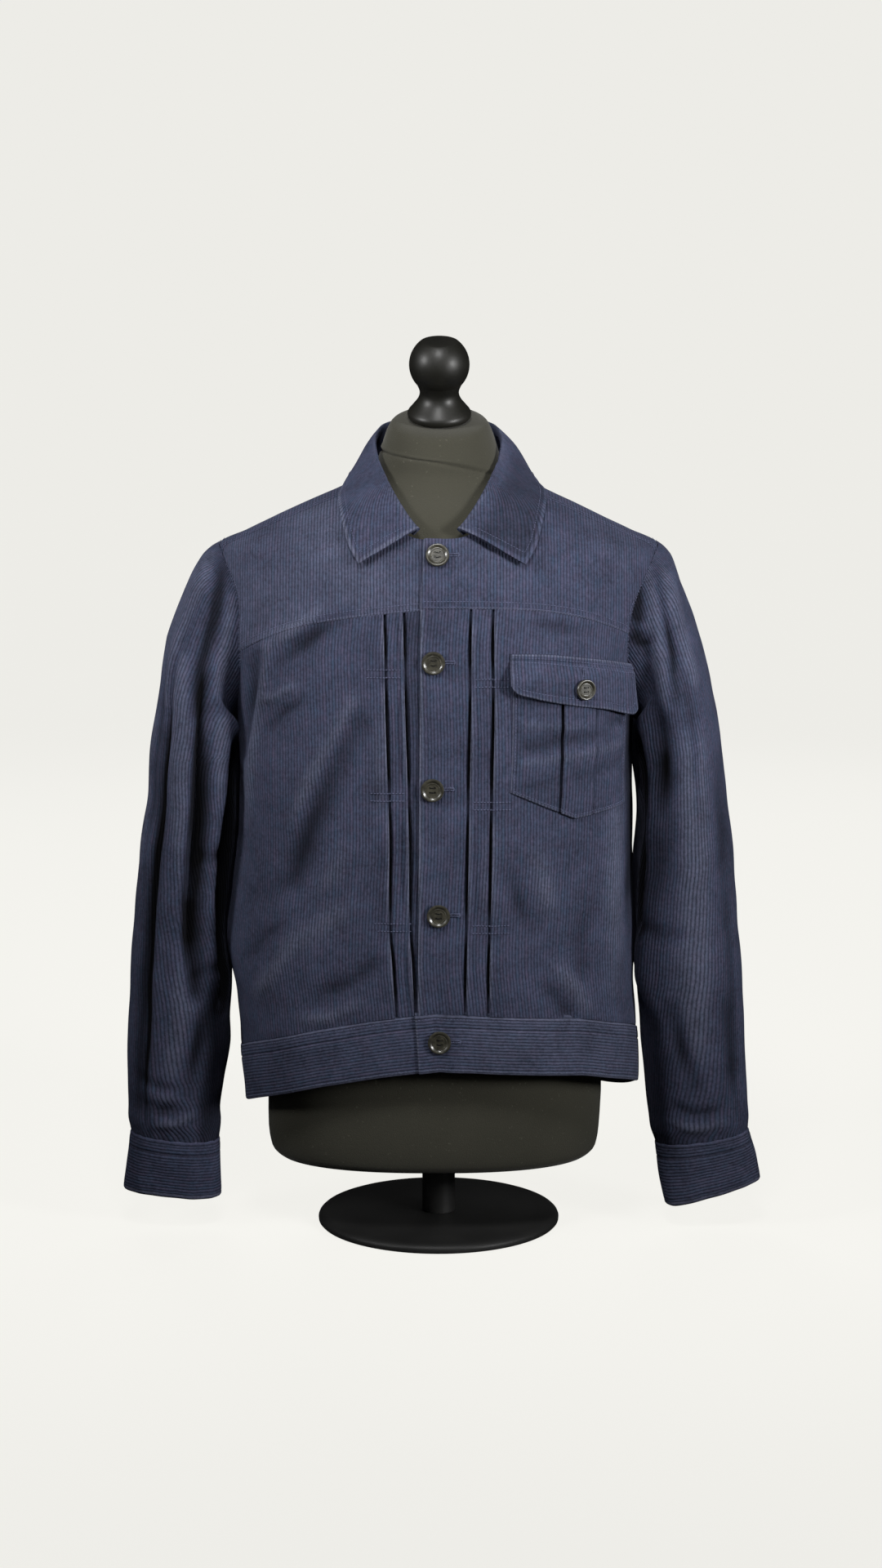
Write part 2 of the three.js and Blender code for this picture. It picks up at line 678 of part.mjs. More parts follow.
// Half of the one-piece collar, from its front end to the centre back: its seam on the neckline, its
// fold, and the outer edge of its leaf. The first outer edge point is the collar's tip.
const COLLAR_COLUMNS = ['seamX', 'seamY', 'seamZ', 'foldX', 'foldY', 'foldZ', 'edgeX', 'edgeY', 'edgeZ'];
const COLLAR_ROWS = [
  [24, -105.5, 726, 21, -112, 732, 81, -119, 698],
  [34, -101, 731, 30, -98, 742, 92, -102, 715],
  [48, -92, 738, 41, -78, 757, 98, -76, 736],
  [62, -70, 755, 53, -50, 777, 101, -38, 754],
  [68, -42, 772, 62, -24, 796, 98, -8, 766],
  [73, -6, 778, 64, 2, 811, 95, 16, 770],
  [67, 32, 780, 57, 34, 822, 75, 56, 772],
  [40, 58, 781, 34, 55, 827, 44, 83, 769],
  [0, 68, 781, 0, 64, 828, 0, 92, 767],
];
const COLLAR_SPREAD = 4;      // the leaves lie this much further to the wearer's left
const FOLD_RADIUS = 3.4;

/** One section of the collar: up the stand, over the fold and down the leaf. */
function collarSection(s, side) {
  const seam = vec(side * s.seamX, s.seamY, s.seamZ);
  const fold = vec(side * s.foldX, s.foldY, s.foldZ);
  const edge = keepOff(vec(side * s.edgeX + COLLAR_SPREAD, s.edgeY, s.edgeZ), 2.6);
  const away = edge.clone().sub(seam).projectOnPlane(fold.clone().sub(seam).normalize()).normalize();
  const radius = Math.min(FOLD_RADIUS, 0.4 * fold.distanceTo(seam));
  const insideFold = fold.clone().addScaledVector(away, -radius).lerp(seam, 0.12);
  const outsideFold = fold.clone().addScaledVector(away, radius).lerp(edge, 0.06);
  const bulge = (t, height) => keepOff(outsideFold.clone().lerp(edge, t).addScaledVector(away, height), 3);
  return [
    seam,
    seam.clone().lerp(insideFold, 0.5),
    insideFold,
    fold.clone().addScaledVector(away, -radius * 0.1),
    outsideFold,
    bulge(0.35, 3),
    bulge(0.7, 2.5),
    edge,
  ];
}

/** Smooth rows between the named rows of a half collar. */
function collarRows(side) {
  const spans = 14;
  const rowAt = smoothTable(['at', ...COLLAR_COLUMNS], COLLAR_ROWS.map((row, i) => [i, ...row]));
  return evenly(spans).map((t) => collarSection(rowAt(t * (COLLAR_ROWS.length - 1)), side));
}
const collarGrid = [...collarRows(1).slice(0, -1), ...collarRows(-1).reverse()];
const collarNormals = gridNormals(collarGrid, false);
addPiece('collar', wallGeometry(
  moved(collarGrid, collarNormals, DOUBLE_CLOTH / 2),
  moved(collarGrid, collarNormals, -DOUBLE_CLOTH / 2),
), CORDUROY);

// ---- Chest pocket and flap ----------------------------------------------------------------------

/** Point of the body a distance round the front from the centre, toward the wearer's left, at a height. */
function roundFront(distance, z) {
  const line = evenly(90).map((t) => atAngle(bodySection, lerp(-90, 10, t), z));
  return atDistances(line, [distance])[0];
}

const POCKET = {
  start: 77,          // distance of its near edge from the centre front
  width: 132,
  startLean: -4,      // how much nearer the centre its foot lies
  top: 586,
  corner: 477,
  point: 449,
  farCorner: 457,
  offCloth: 1,
  puff: 2.4,
};
const PLEAT_AT = { near: 0.385, far: 0.64 };     // the pocket's box pleat, as shares of its width

const pocketColumns = [
  [0, 0], [0.13, 0], [0.26, 0], [PLEAT_AT.near - 0.012, 0], [PLEAT_AT.near, PLEAT_RISE], [0.5, PLEAT_RISE],
  [PLEAT_AT.far, PLEAT_RISE], [PLEAT_AT.far + 0.012, 0], [0.76, 0], [0.88, 0], [1, 0],
].map(([share, pleat]) => ({ share, pleat }));

function pocketGrid(standing) {
  return evenly(6).map((down) => pocketColumns.map(({ share, pleat }) => {
    const foot = share < 0.5
      ? lerp(POCKET.corner, POCKET.point, share / 0.5)
      : lerp(POCKET.point, POCKET.farCorner, (share - 0.5) / 0.5);
    const z = lerp(POCKET.top, foot, down);
    const p = roundFront(POCKET.start + POCKET.startLean * down + share * POCKET.width, z);
    const puff = POCKET.puff * Math.sin(Math.PI * share) * Math.sin(Math.PI * Math.min(down, 0.97));
    const rise = standing > 0 ? standing + pleat : 0;
    return p.addScaledVector(outward(p), POCKET.offCloth + Math.max(puff, 0) + rise);
  }));
}
addPiece('chest_pocket', wallGeometry(pocketGrid(CLOTH), pocketGrid(0)), CORDUROY);

const FLAP = { start: 75, width: 136, top: 613, foot: 562, offCloth: 1, corner: 9 };
const FLAP_OVER_POCKET = CLOTH + PLEAT_RISE + POCKET.puff + 0.4;

function flapGrid(standing) {
  return evenly(5).map((down) => evenly(12).map((share) => {
    const intoCorner = Math.max(FLAP.corner - Math.min(share, 1 - share) * FLAP.width, 0);
    const rounding = FLAP.corner - Math.sqrt(FLAP.corner ** 2 - intoCorner ** 2);
    const foot = FLAP.foot + rounding - 7 * share ** 2;
    const z = lerp(FLAP.top, foot, down);
    const p = roundFront(FLAP.start + share * FLAP.width, z);
    const over = FLAP_OVER_POCKET * smooth(clamp((FLAP.top - z - 10) / 18, 0, 1));
    const curl = 4 * smooth(clamp((share - 0.8) / 0.2, 0, 1)) * down;
    return p.addScaledVector(outward(p), FLAP.offCloth + over + curl + standing);
  }));
}
addPiece('pocket_flap', wallGeometry(flapGrid(DOUBLE_CLOTH), flapGrid(0)), CORDUROY);

// ---- Buttons ------------------------------------------------------------------------------------

/** A turned button with a raised rim round a shallow dish. */
function buttonGeometry(radius) {
  const profile = [[0, 0], [0.8, 0], [1, 0.45], [0.93, 0.95], [0.74, 0.9], [0.6, 0.5], [0, 0.42]];
  const points = profile.map(([r, h]) => new THREE.Vector2(r * radius, h * BUTTON_HEIGHT));
  return new THREE.LatheGeometry(points, 16).rotateX(Math.PI / 2);
}

function addButton(name, seat, radius) {
  const button = addPiece(name, buttonGeometry(radius), HORN);
  const normal = outward(seat);
  button.quaternion.setFromUnitVectors(vec(0, 0, 1), normal);
  button.position.copy(seat);
}

const FRONT_BUTTONS = [[-1, 706], [-5, 603], [-6, 478], [0, 352], [1, 224.5]];
FRONT_BUTTONS.forEach(([x, z], i) => {
  const seat = atX(x, z);
  const onBand = i === FRONT_BUTTONS.length - 1;
  const standing = onBand ? BAND_LAP_LIFT + BAND_PROUD : LAP_LIFT;
  addButton(`front_button_${i + 1}`, seat.addScaledVector(outward(seat), standing + 0.4), BUTTON_RADIUS);
});
const flapSeat = roundFront(FLAP.start + FLAP.width * 0.53, 576);
flapSeat.addScaledVector(outward(flapSeat), FLAP.offCloth + FLAP_OVER_POCKET + DOUBLE_CLOTH + 0.4);
addButton('pocket_button', flapSeat, POCKET_BUTTON_RADIUS);

// ---- Dress form and stand -----------------------------------------------------------------------

const FORM_CLEARANCE = 4;     // how far the form's shoulders lie below the outside of the jacket's
const TORSO_FOOT = 76;        // height of the torso's underside

// The torso's level sections. Its shoulders repeat the jacket's, lowered, so the yokes rest on them.
const shoulderRows = [716, 726, 738, 750].map((z) => {
  const s = bodySection(z);
  return [z - FORM_CLEARANCE, s.halfWidth, s.front - FORM_CLEARANCE, s.back - FORM_CLEARANCE, 2, s.shift];
});
const torsoSection = smoothTable(['z', 'halfWidth', 'front', 'back', 'squareness', 'shift'], [
  [76, 150, 90, 82, 2.4, -5],
  [78, 161, 101, 92, 2.4, -5],
  [86, 168, 108, 98, 2.4, -5],
  [105, 171, 111, 101, 2.4, -5],
  [140, 172, 112, 103, 2.4, -4],
  [210, 172, 112, 104, 2.4, -4],
  [300, 160, 106, 98, 2.4, -3],
  [380, 150, 102, 94, 2.4, -2],
  [460, 160, 106, 100, 2.4, -1],
  [540, 174, 112, 108, 2.5, 0],
  [620, 184, 116, 112, 2.5, 0],
  [680, 192, 112, 108, 2.3, 0],
  [700, 197, 109, 105, 2.1, 0],
  ...shoulderRows,
  [762, 88, 68, 70, 2, 1.5],
  [774, 70, 61, 63, 2, 1],
  [782, 65, 58.5, 60, 2, 1],
  [793, 61.5, 57.5, 58, 2, 0.8],
  [806, 57.5, 54.5, 55, 2, 0.8],
  [818, 53.5, 51.5, 52, 2, 0.8],
  [826, 49.5, 49, 49, 2, 0.8],
  [829, 46, 46, 46, 2, 0.8],
  [831, 38, 38, 38, 2, 0.8],
]);

// The torso's rings, and how much of the neck's tilt each takes: none, up to the neck's side.
const UPRIGHT_RINGS = [
  76, 78, 86, 105, 140, 210, 300, 380, 460, 540, 620, 680,
  700, 712, 722, 734, 746, 754, 762, 768, 774, 782, 793,
];
const TILTED_RINGS = [[806, 0.4], [818, 0.75], [826, 1], [829, 1], [831, 1]];
const TORSO_RINGS = [...UPRIGHT_RINGS.map((z) => [z, 0]), ...TILTED_RINGS];
const CAP_CENTRE = vec(0.8, 0, 832);

/** A solid through closed rings, ended by a point at each end. */
function ringSolid(rings, start, end) {
  const columns = rings[0].length;
  const points = [...rings.flat(), start, end];
  const at = (r, c) => r * columns + (c % columns);
  const startAt = rings.length * columns;
  const faces = [];
  for (let c = 0; c < columns; c += 1) {
    for (let r = 0; r < rings.length - 1; r += 1) {
      faces.push([at(r, c), at(r, c + 1), at(r + 1, c + 1)], [at(r, c), at(r + 1, c + 1), at(r + 1, c)]);
    }
    faces.push([startAt, at(0, c + 1), at(0, c)]);
    faces.push([startAt + 1, at(rings.length - 1, c), at(rings.length - 1, c + 1)]);
  }
  return solidGeometry(points, faces);
}

const torsoRings = TORSO_RINGS.map(([z, tilt]) => evenly(32).slice(1).map((t) => {
  const p = atAngle(torsoSection, t * 360, z);
  p.z += tilt * Math.tan(NECK_TILT) * p.y;
  return p;
}));
addPiece('form_torso', ringSolid(torsoRings, vec(-5, 0, TORSO_FOOT), CAP_CENTRE), JERSEY);

// The knob is turned: a flared foot, a waist and a ball with a flat on top.
const KNOB_FOOT = [
  [0, 0],
  [29.5, 0],
  [32, 4.5],
  [30.5, 9],
  [25.5, 15],
  [21.5, 20.5],
  [19.6, 26.5],
  [20.6, 31.5],
];
const BALL = { radius: 30.2, height: 56.5 };
const ballArc = evenly(8).map((t) => {
  const angle = THREE.MathUtils.degToRad(lerp(-44, 53, t));
  return [BALL.radius * Math.cos(angle), BALL.height + BALL.radius * Math.sin(angle)];
});
const knobProfile = [...KNOB_FOOT, ...ballArc, [0, ballArc.at(-1)[1]]];
const knob = addPiece('form_knob', new THREE.LatheGeometry(
  knobProfile.map(([r, h]) => new THREE.Vector2(r, h)), 24).rotateX(Math.PI / 2), LACQUER);
knob.rotation.x = NECK_TILT;
knob.position.set(CAP_CENTRE.x, CAP_CENTRE.y, CAP_CENTRE.z + 0.4);

const BASE_HEIGHT = 10;
const POLE_RADIUS = 17;
const baseProfile = [
  [0, 0],
  [STAND_RADIUS, 0],
  [STAND_RADIUS, 5],
  [STAND_RADIUS - 3, 8],
  [STAND_RADIUS - 8, BASE_HEIGHT],
  [0, BASE_HEIGHT],
];
addPiece('stand_base', new THREE.LatheGeometry(
  baseProfile.map(([r, h]) => new THREE.Vector2(r, h)), 40).rotateX(Math.PI / 2), STEEL);
const POLE_GAP = 0.3;         // between the pole's ends and what they meet
const poleHeight = TORSO_FOOT - BASE_HEIGHT - 2 * POLE_GAP;
const poleShape = new THREE.CylinderGeometry(POLE_RADIUS, POLE_RADIUS, poleHeight, 20);
const pole = addPiece('stand_pole', poleShape, STEEL);
pole.rotation.x = Math.PI / 2;
pole.position.z = BASE_HEIGHT + POLE_GAP + poleHeight / 2;

export default part;
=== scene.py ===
"""A corduroy overshirt, buttoned up on a dress form: cloth, sewing, buttons and form, in the part's frame."""

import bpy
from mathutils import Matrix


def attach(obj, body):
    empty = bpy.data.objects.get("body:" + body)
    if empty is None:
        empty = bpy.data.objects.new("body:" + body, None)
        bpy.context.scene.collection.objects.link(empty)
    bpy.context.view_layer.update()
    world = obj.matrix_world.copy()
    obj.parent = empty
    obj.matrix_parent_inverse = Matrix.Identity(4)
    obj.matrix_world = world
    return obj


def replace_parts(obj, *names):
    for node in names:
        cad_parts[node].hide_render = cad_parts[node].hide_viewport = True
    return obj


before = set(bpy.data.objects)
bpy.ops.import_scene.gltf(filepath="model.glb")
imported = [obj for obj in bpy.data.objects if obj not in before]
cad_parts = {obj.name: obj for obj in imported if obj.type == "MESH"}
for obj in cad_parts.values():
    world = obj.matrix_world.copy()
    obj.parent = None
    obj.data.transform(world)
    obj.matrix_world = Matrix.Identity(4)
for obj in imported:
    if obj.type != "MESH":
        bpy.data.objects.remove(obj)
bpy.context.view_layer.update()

import math

import bmesh
import bpy
import numpy as np
from mathutils import Matrix, Vector

# ---- Fronts --------------------------------------------------------------------------------------
# The two front panels are navy corduroy, eight ribs (wales) to the inch, running up and down.
# Each has two knife pleats that open away from the middle and are tacked down at three heights.
# The left front's turned edge laps over the right one; there is no separate placket.

MM = 0.001
WALE = 3.175                 # one rib of the pile, in millimetres, as all lengths below
CLOTH = 1.0                  # how thick one layer is made here
BAND_HEIGHT = 59             # of the waistband, from the hem to its seam
BAND_TOP_Z = 253             # the waistband's seam at the middle front
UNDERARM_Z = 532             # height of the side seams' upper ends
YOKE_SEAM_Z = 656.5          # height of the front yoke seams at their inner ends
YOKE_END_Z = {"left": 624, "right": 606}
YOKE_END_Y = -73             # where they meet the armholes
SHOULDER_END = (-30, 699)    # y and height of the shoulder seam's outer end
BLADE_END = (72, 640)        # and of the back yoke seam's ends
SIDE_ANGLE = {"left": 2, "right": 178}         # of the side seams, as for the hem below
EDGE_X = {"left": {"neck": -14, "yoke": -17.5, "band": -20.5},
          "right": {"neck": 10, "yoke": 10, "band": 10}}
SIDES = {"left": 1, "right": -1}
LAP_LIFT = 2.4               # how far the left front stands off where it lies over the right one


def smooth(t):
    """A smooth step from 0 to 1."""
    t = np.clip(t, 0, 1)
    return t * t * (3 - 2 * t)


def smooth_table(rows):
    """Smooth functions of the rows' first column, flat at their peaks, one for each other column."""
    rows = np.array(rows, float)
    at, values = rows[:, 0], rows[:, 1:]
    secants = np.diff(values, axis=0) / np.diff(at)[:, None]
    before, after = secants[:-1], secants[1:]
    total = before + after
    level = (before * after <= 0) | (total == 0)
    slopes = np.empty_like(values)
    slopes[0], slopes[-1] = secants[0], secants[-1]
    slopes[1:-1] = np.where(level, 0, 2 * before * after / np.where(total == 0, 1, total))

    def found(x):
        x = np.asarray(x, float)
        i = np.clip(np.searchsorted(at, x) - 1, 0, len(at) - 2)
        span = (at[i + 1] - at[i])[..., None]
        t = np.clip((x - at[i])[..., None] / span, 0, 1)
        s = smooth(t)
        bend = t * (1 - t) * span * (slopes[i] * (1 - t) - slopes[i + 1] * t)
        return np.moveaxis(values[i] * (1 - s) + values[i + 1] * s + bend, -1, 0)
    return found


# Level sections of the jacket's outside: height, half width, front, back, squareness, shift.
body = smooth_table([
    [100, 199, 138, 121, 2.7, 2], [150, 202, 140, 122, 2.7, 3], [190, 204, 140, 122, 2.7, 1],
    [245, 204, 138, 119, 2.8, -3], [307, 208, 137, 116, 2.8, -8], [359, 205, 136, 114, 2.8, -6],
    [427, 200, 135, 114, 2.9, -3], [514, 199, 134, 118, 3.0, -3], [560, 201, 133, 122, 3.0, -4],
    [606, 205, 131, 124, 3.0, -5], [656, 214, 127, 122, 2.6, -2], [690, 221, 120, 116, 2.3, 0],
    [706, 221, 115, 110, 2.2, 0], [720, 194, 109, 105, 2.1, 0], [735, 163, 100, 97, 2, 0],
    [750, 131, 88, 88, 2, 1], [766, 96, 75, 78, 2, 2], [777, 77, 68, 72, 2, 1], [800, 63, 60, 62, 2, 0],
])

# Height of the hem by the angle round the body: -90 is the middle front, 0 the wearer's left.
hem_height = smooth_table([
    [-90, 194], [-42, 185], [-27, 174], [-3, 151], [27, 126], [90, 131], [153, 124],
    [183, 133], [208, 156], [229, 176], [250, 188], [270, 194],
])


def field(section, p):
    """0 on the surface of a set of sections, -1 on its axis."""
    wide, front, back, square, shift = section(p[..., 2])
    across = np.abs(p[..., 0] - shift) / wide
    deep = np.abs(p[..., 1]) / np.where(p[..., 1] < 0, front, back)
    return (across ** square + deep ** square) ** (1 / square) - 1


def gradient(section, p):
    """How fast the field of a set of sections grows, along x, y and z."""
    step = 0.05
    return np.stack([(field(section, p + step * axis) - field(section, p - step * axis)) / (2 * step)
                     for axis in np.eye(3)], -1)


def unit(v):
    """The same directions, each of length 1."""
    return v / np.maximum(np.linalg.norm(v, axis=-1, keepdims=True), 1e-9)


def outward(p, section=body):
    """The direction straight out of a set of sections."""
    return unit(gradient(section, p))


def onto_body(p):
    """Moves points straight in or out until they lie on the smooth body."""
    for _ in range(8):
        slope = gradient(body, p)
        p = p - slope * (field(body, p) / (slope * slope).sum(-1))[..., None]
    return p


def at_angle(section, degrees, z):
    """The point of a section at an angle round it and a height."""
    wide, front, back, square, shift = section(z)
    dx, dy = np.cos(np.radians(degrees)), np.sin(np.radians(degrees))
    deep = np.abs(dy) / np.where(dy < 0, front, back)
    scale = ((np.abs(dx) / wide) ** square + deep ** square) ** (-1 / square)
    return np.stack(np.broadcast_arrays(shift + scale * dx, scale * dy, z), -1)


def at_x(x, z, facing=-1):
    """The body's point at x and a height, in front or behind."""
    wide, front, back, square, shift = body(z)
    across = np.clip(np.abs(x - shift) / wide, 0, 1)
    deep = front if facing < 0 else back
    return np.stack(np.broadcast_arrays(x, facing * deep * (1 - across ** square) ** (1 / square), z), -1)


def at_y(y, z, side):
    """The body's point at y and a height, on one side."""
    wide, front, back, square, shift = body(z)
    deep = np.abs(y) / np.where(np.asarray(y) < 0, front, back)
    return np.stack(np.broadcast_arrays(shift + side * wide * (1 - deep ** square) ** (1 / square), y, z), -1)


def angle_of(p):
    """The angle of points round the body, from -90 to 270."""
    degrees = np.degrees(np.arctan2(p[..., 1], p[..., 0] - body(p[..., 2])[4]))
    return np.where(degrees < -90, degrees + 360, degrees)


def lengths(line):
    """How far along a line each of its points is."""
    return np.concatenate([[0], np.cumsum(np.linalg.norm(np.diff(line, axis=0), axis=1))])


def at_distances(line, distances):
    """Points along a fine line, at distances from its start."""
    walked = lengths(line)
    return np.stack([np.interp(distances, walked, line[:, k]) for k in range(3)], -1)


def curve(keys, shares, closed=False):
    """Catmull-Rom curve through keys, its knots spaced by the square root of the distance between them."""
    keys = np.array(keys, float)
    n = len(keys)
    spans = n if closed else n - 1
    found = []
    for place in np.clip(shares, 0, 1) * spans:
        i = min(int(place), spans - 1)
        t = place - i
        if closed:
            a, b, c, d = (keys[(i + k) % n] for k in (-1, 0, 1, 2))
        else:
            b, c = keys[i], keys[i + 1]
            a = keys[i - 1] if i else 2 * b - c
            d = keys[i + 2] if i + 2 < n else 2 * c - b
        ab, bc, cd = (max(np.linalg.norm(q - p) ** 0.5, 1e-4) for p, q in ((a, b), (b, c), (c, d)))
        start = ((b - a) / ab - (c - a) / (ab + bc) + (c - b) / bc) * bc
        end = ((c - b) / bc - (d - b) / (bc + cd) + (d - c) / cd) * bc
        found.append(b + start * t + (3 * (c - b) - 2 * start - end) * t ** 2
                     + (2 * (b - c) + start + end) * t ** 3)
    return np.array(found)


# The armhole's corners, by their places among its nine keys, and the stretches between them.
ARMHOLE_CORNER = {"underarm": 0, "yoke_front": 2, "shoulder": 4, "yoke_back": 7, "end": 9}
STRETCHES = [("underarm", "yoke_front"), ("yoke_front", "shoulder"), ("shoulder", "yoke_back"),
             ("yoke_back", "end")]


def armhole(side_name, first, last, shares):
    """One stretch of an armhole: up the front from under the arm, over the shoulder and down the back."""
    keys = [[0, y, z] for y, z in ((0, UNDERARM_Z), (-48, 552), (YOKE_END_Y, YOKE_END_Z[side_name]),
                                   (-63, 666), SHOULDER_END, (8, 707), (46, 694), BLADE_END, (58, 574))]
    a, b = ARMHOLE_CORNER[first], ARMHOLE_CORNER[last]
    line = curve(keys, (a + (b - a) * np.asarray(shares)) / len(keys), closed=True)
    return at_y(line[:, 1], line[:, 2], SIDES[side_name])


def band_seam(first, last, count=400):
    """The waistband's seam between two angles."""
    angle = np.linspace(first, last, count)
    folded = np.where(angle < -90, angle + 360, np.where(angle > 270, angle - 360, angle))
    return at_angle(body, folded, hem_height(folded)[0] + BAND_HEIGHT)


def side_seam(side_name, shares):
    """Points up a side seam, from the waistband to under the arm."""
    foot = band_seam(SIDE_ANGLE[side_name], SIDE_ANGLE[side_name], 1)[0]
    top = at_y(0, UNDERARM_Z, SIDES[side_name])
    return onto_body(foot + np.asarray(shares)[:, None] * (top - foot))


def panel_side(side_name, shares, below, first, last):
    """A panel's outer edge: the side seam for a share of its height, then a stretch of the armhole."""
    up = (shares * sum(below) - below[0]) / below[1]
    stretch = np.clip(up, 0, 1) if first == "underarm" else 1 - np.clip(up, 0, 1)
    seam = side_seam(side_name, np.clip(shares * sum(below) / below[0], 0, 1))
    return np.where((shares < below[0] / sum(below))[:, None], seam,
                    armhole(side_name, first, last, stretch))


def front_yoke_seam(side_name):
    """The seam under a front yoke, from the front edge down to the armhole."""
    end = at_y(YOKE_END_Y, YOKE_END_Z[side_name], SIDES[side_name])
    t = np.linspace(0, 1, 300)
    x = EDGE_X[side_name]["yoke"] * (1 - t) + end[0] * t
    drop = 31.5 * t ** 4 if side_name == "left" else 22 * t ** 1.2 + 27.5 * t ** 5
    line = at_x(x, YOKE_SEAM_Z - 0.8 - drop)
    line[-1] = end
    return line


def fill(bottom, top, start, end, v):
    """A grid between four edges. Start and end have one point for each row, at the shares v."""
    v = np.asarray(v)[:, None, None]

    def share(line):
        return np.linalg.norm(line - line[0], axis=1) / np.linalg.norm(line[-1] - line[0])
    u = ((share(bottom) + share(top)) / 2)[None, :, None]
    along = bottom[None] * (1 - v) + top[None] * v
    across = start[:, None] * (1 - u) + end[:, None] * u
    corners = (bottom[0] * (1 - u) + bottom[-1] * u) * (1 - v) + (top[0] * (1 - u) + top[-1] * u) * v
    return along + across - corners


def round_distance(p, facing):
    """Length of cloth round the body from the middle front or back, plus on the wearer's left."""
    middle = -90 if facing < 0 else 90
    angle = np.degrees(np.arctan2(p[..., 1], p[..., 0] - body(p[..., 2])[4]))
    if facing > 0:
        angle = np.where(angle < -90, angle + 360, angle)
    way = middle + (angle - middle)[..., None] * np.linspace(0, 1, 40)
    line = at_angle(body, way, p[..., 2][..., None])
    walked = np.linalg.norm(np.diff(line, axis=-2), axis=-1).sum(-1)
    return walked * np.sign(p[..., 0] - body(p[..., 2])[4])


# Soft creases of the cloth, as worn: the line each follows (x and height), how wide and how high it is.
# A minus height is a trough. Those of the back lie as a worn jacket's usually do.
FRONT_CREASES = [
    ([(-160, 597), (-140, 614), (-108, 640), (-88, 650)], 8, -3.2),
    ([(-172, 616), (-142, 633), (-118, 652)], 7, 2.0),
    ([(-184, 362), (-147, 383), (-127, 441), (-102, 498), (-78, 543)], 11, -3.6),
    ([(-146, 436), (-128, 482), (-102, 530), (-84, 566)], 7, 2.6),
    ([(-168, 532), (-154, 549), (-136, 563)], 5, -2.2),
    ([(-176, 560), (-158, 568), (-142, 580)], 5, 1.6),
    ([(-126, 262), (-111, 273), (-87, 283), (-61, 304)], 8, -2.6),
    ([(-140, 243), (-110, 246), (-79, 262)], 6, 2.0),
    ([(-182, 262), (-166, 288), (-146, 318)], 7, 2.2),
    ([(-188, 300), (-176, 322), (-158, 336)], 6, -2.0),
    ([(-150, 318), (-118, 336), (-92, 360)], 11, 1.8),
    ([(-122, 372), (-104, 392), (-94, 420)], 8, 1.4),
    ([(-60, 548), (-56, 500), (-58, 452)], 7, 1.2),
    ([(-56, 420), (-52, 372), (-54, 330)], 7, -1.2),
    ([(52, 556), (50, 512), (53, 470)], 7, -1.1),
    ([(52, 430), (49, 384), (51, 340)], 7, 1.3),
    ([(72, 392), (79, 362), (88, 334)], 8, -2.4),
    ([(96, 412), (104, 384), (110, 352)], 9, 1.8),
    ([(118, 298), (134, 276), (148, 250)], 8, 2.2),
    ([(108, 276), (122, 258), (136, 240)], 7, -2.4),
    ([(150, 352), (141, 322), (144, 288)], 8, -2.0),
    ([(172, 530), (176, 440), (175, 350), (178, 262)], 9, 1.8),
    ([(86, 640), (118, 636), (146, 628)], 6, -1.6),
    ([(166, 590), (172, 556), (168, 520)], 8, -1.8),
    ([(-168, 614), (-178, 560), (-186, 500), (-192, 430)], 5, 2.4),
    ([(-178, 606), (-187, 550), (-194, 500)], 5, -3.2),
]
BACK_CREASES = [
    ([(-150, 632), (-96, 606), (-40, 600)], 13, -2.4),
    ([(148, 628), (100, 600), (36, 592)], 12, -2.2),
    ([(-176, 560), (-140, 520), (-120, 470), (-112, 410)], 12, -3.4),
    ([(-158, 580), (-118, 536), (-98, 478)], 8, 2.4),
    ([(174, 566), (144, 516), (118, 458), (112, 396)], 12, -3.2),
    ([(156, 584), (120, 536), (96, 472)], 9, 2.2),
    ([(-60, 420), (-20, 396), (30, 402), (66, 424)], 12, -2.4),
    ([(-72, 392), (-24, 366), (34, 374), (74, 398)], 9, 2.0),
    ([(-150, 330), (-110, 300), (-84, 258)], 10, -2.6),
    ([(154, 320), (118, 290), (92, 244)], 10, -2.6),
    ([(-34, 330), (-22, 282), (-28, 232)], 9, 1.8),
    ([(30, 322), (42, 270), (36, 222)], 9, -1.8),
    ([(-176, 300), (-170, 260), (-176, 220)], 8, 1.8),
    ([(178, 420), (174, 370), (180, 300)], 9, 1.6),
]


def crease_height(p, creases):
    """How high the creases lift each point; a long one sinks and rises a little on its way."""
    place = p[..., [0, 2]]
    total = np.zeros(place.shape[:-1])
    for line, wide, high in creases:
        line = np.array(line, float)
        walked = lengths(line)
        away = np.full(total.shape, 1e9)
        along = np.zeros(total.shape)
        for i, (a, b) in enumerate(zip(line[:-1], line[1:])):
            t = np.clip(((place - a) @ (b - a)) / ((b - a) @ (b - a)), 0, 1)
            off = np.linalg.norm(place - (a + t[..., None] * (b - a)), axis=-1)
            closer = off < away
            away = np.where(closer, off, away)
            along = np.where(closer, (walked[i] + t * (walked[i + 1] - walked[i])) / walked[-1], along)
        swell = (0.35 + 0.65 * np.sin(np.pi * along) ** 0.8) * (1 + 0.18 * np.sin(9 * along + line[0, 0]))
        total += 1.5 * high * swell * np.exp(-(away / wide) ** 2)
    return total


def nap_wear_and_shade(height):
    """Pale on a crease's ridge, partly rubbed pile and partly painted highlight; painted shade in its furrow.
    """
    return np.clip(0.13 * height, -0.72, 0.36)


def shade_beside_sleeve(p):
    """Painted shade on the left side, where the body lies against the sleeve."""
    x, z = p[..., 0], p[..., 2]
    return -0.85 * smooth((x - 183) / 7) * smooth((600 - z) / 40) * smooth((z - 300) / 80)


def slack(p):
    """The cloth's slow unevenness, in millimetres."""
    x, y, z = p[..., 0], p[..., 1], p[..., 2]
    return (0.80 * np.sin(x / 23 + z / 41 + 1.3) * np.sin(z / 33 - y / 47)
            + 0.50 * np.sin(x / 11 - z / 17 + y / 13) * np.sin(z / 29 + 0.7)
            + 0.12 * np.sin(x / 5.1 + 2.0) * np.sin(z / 7.3 + y / 9))


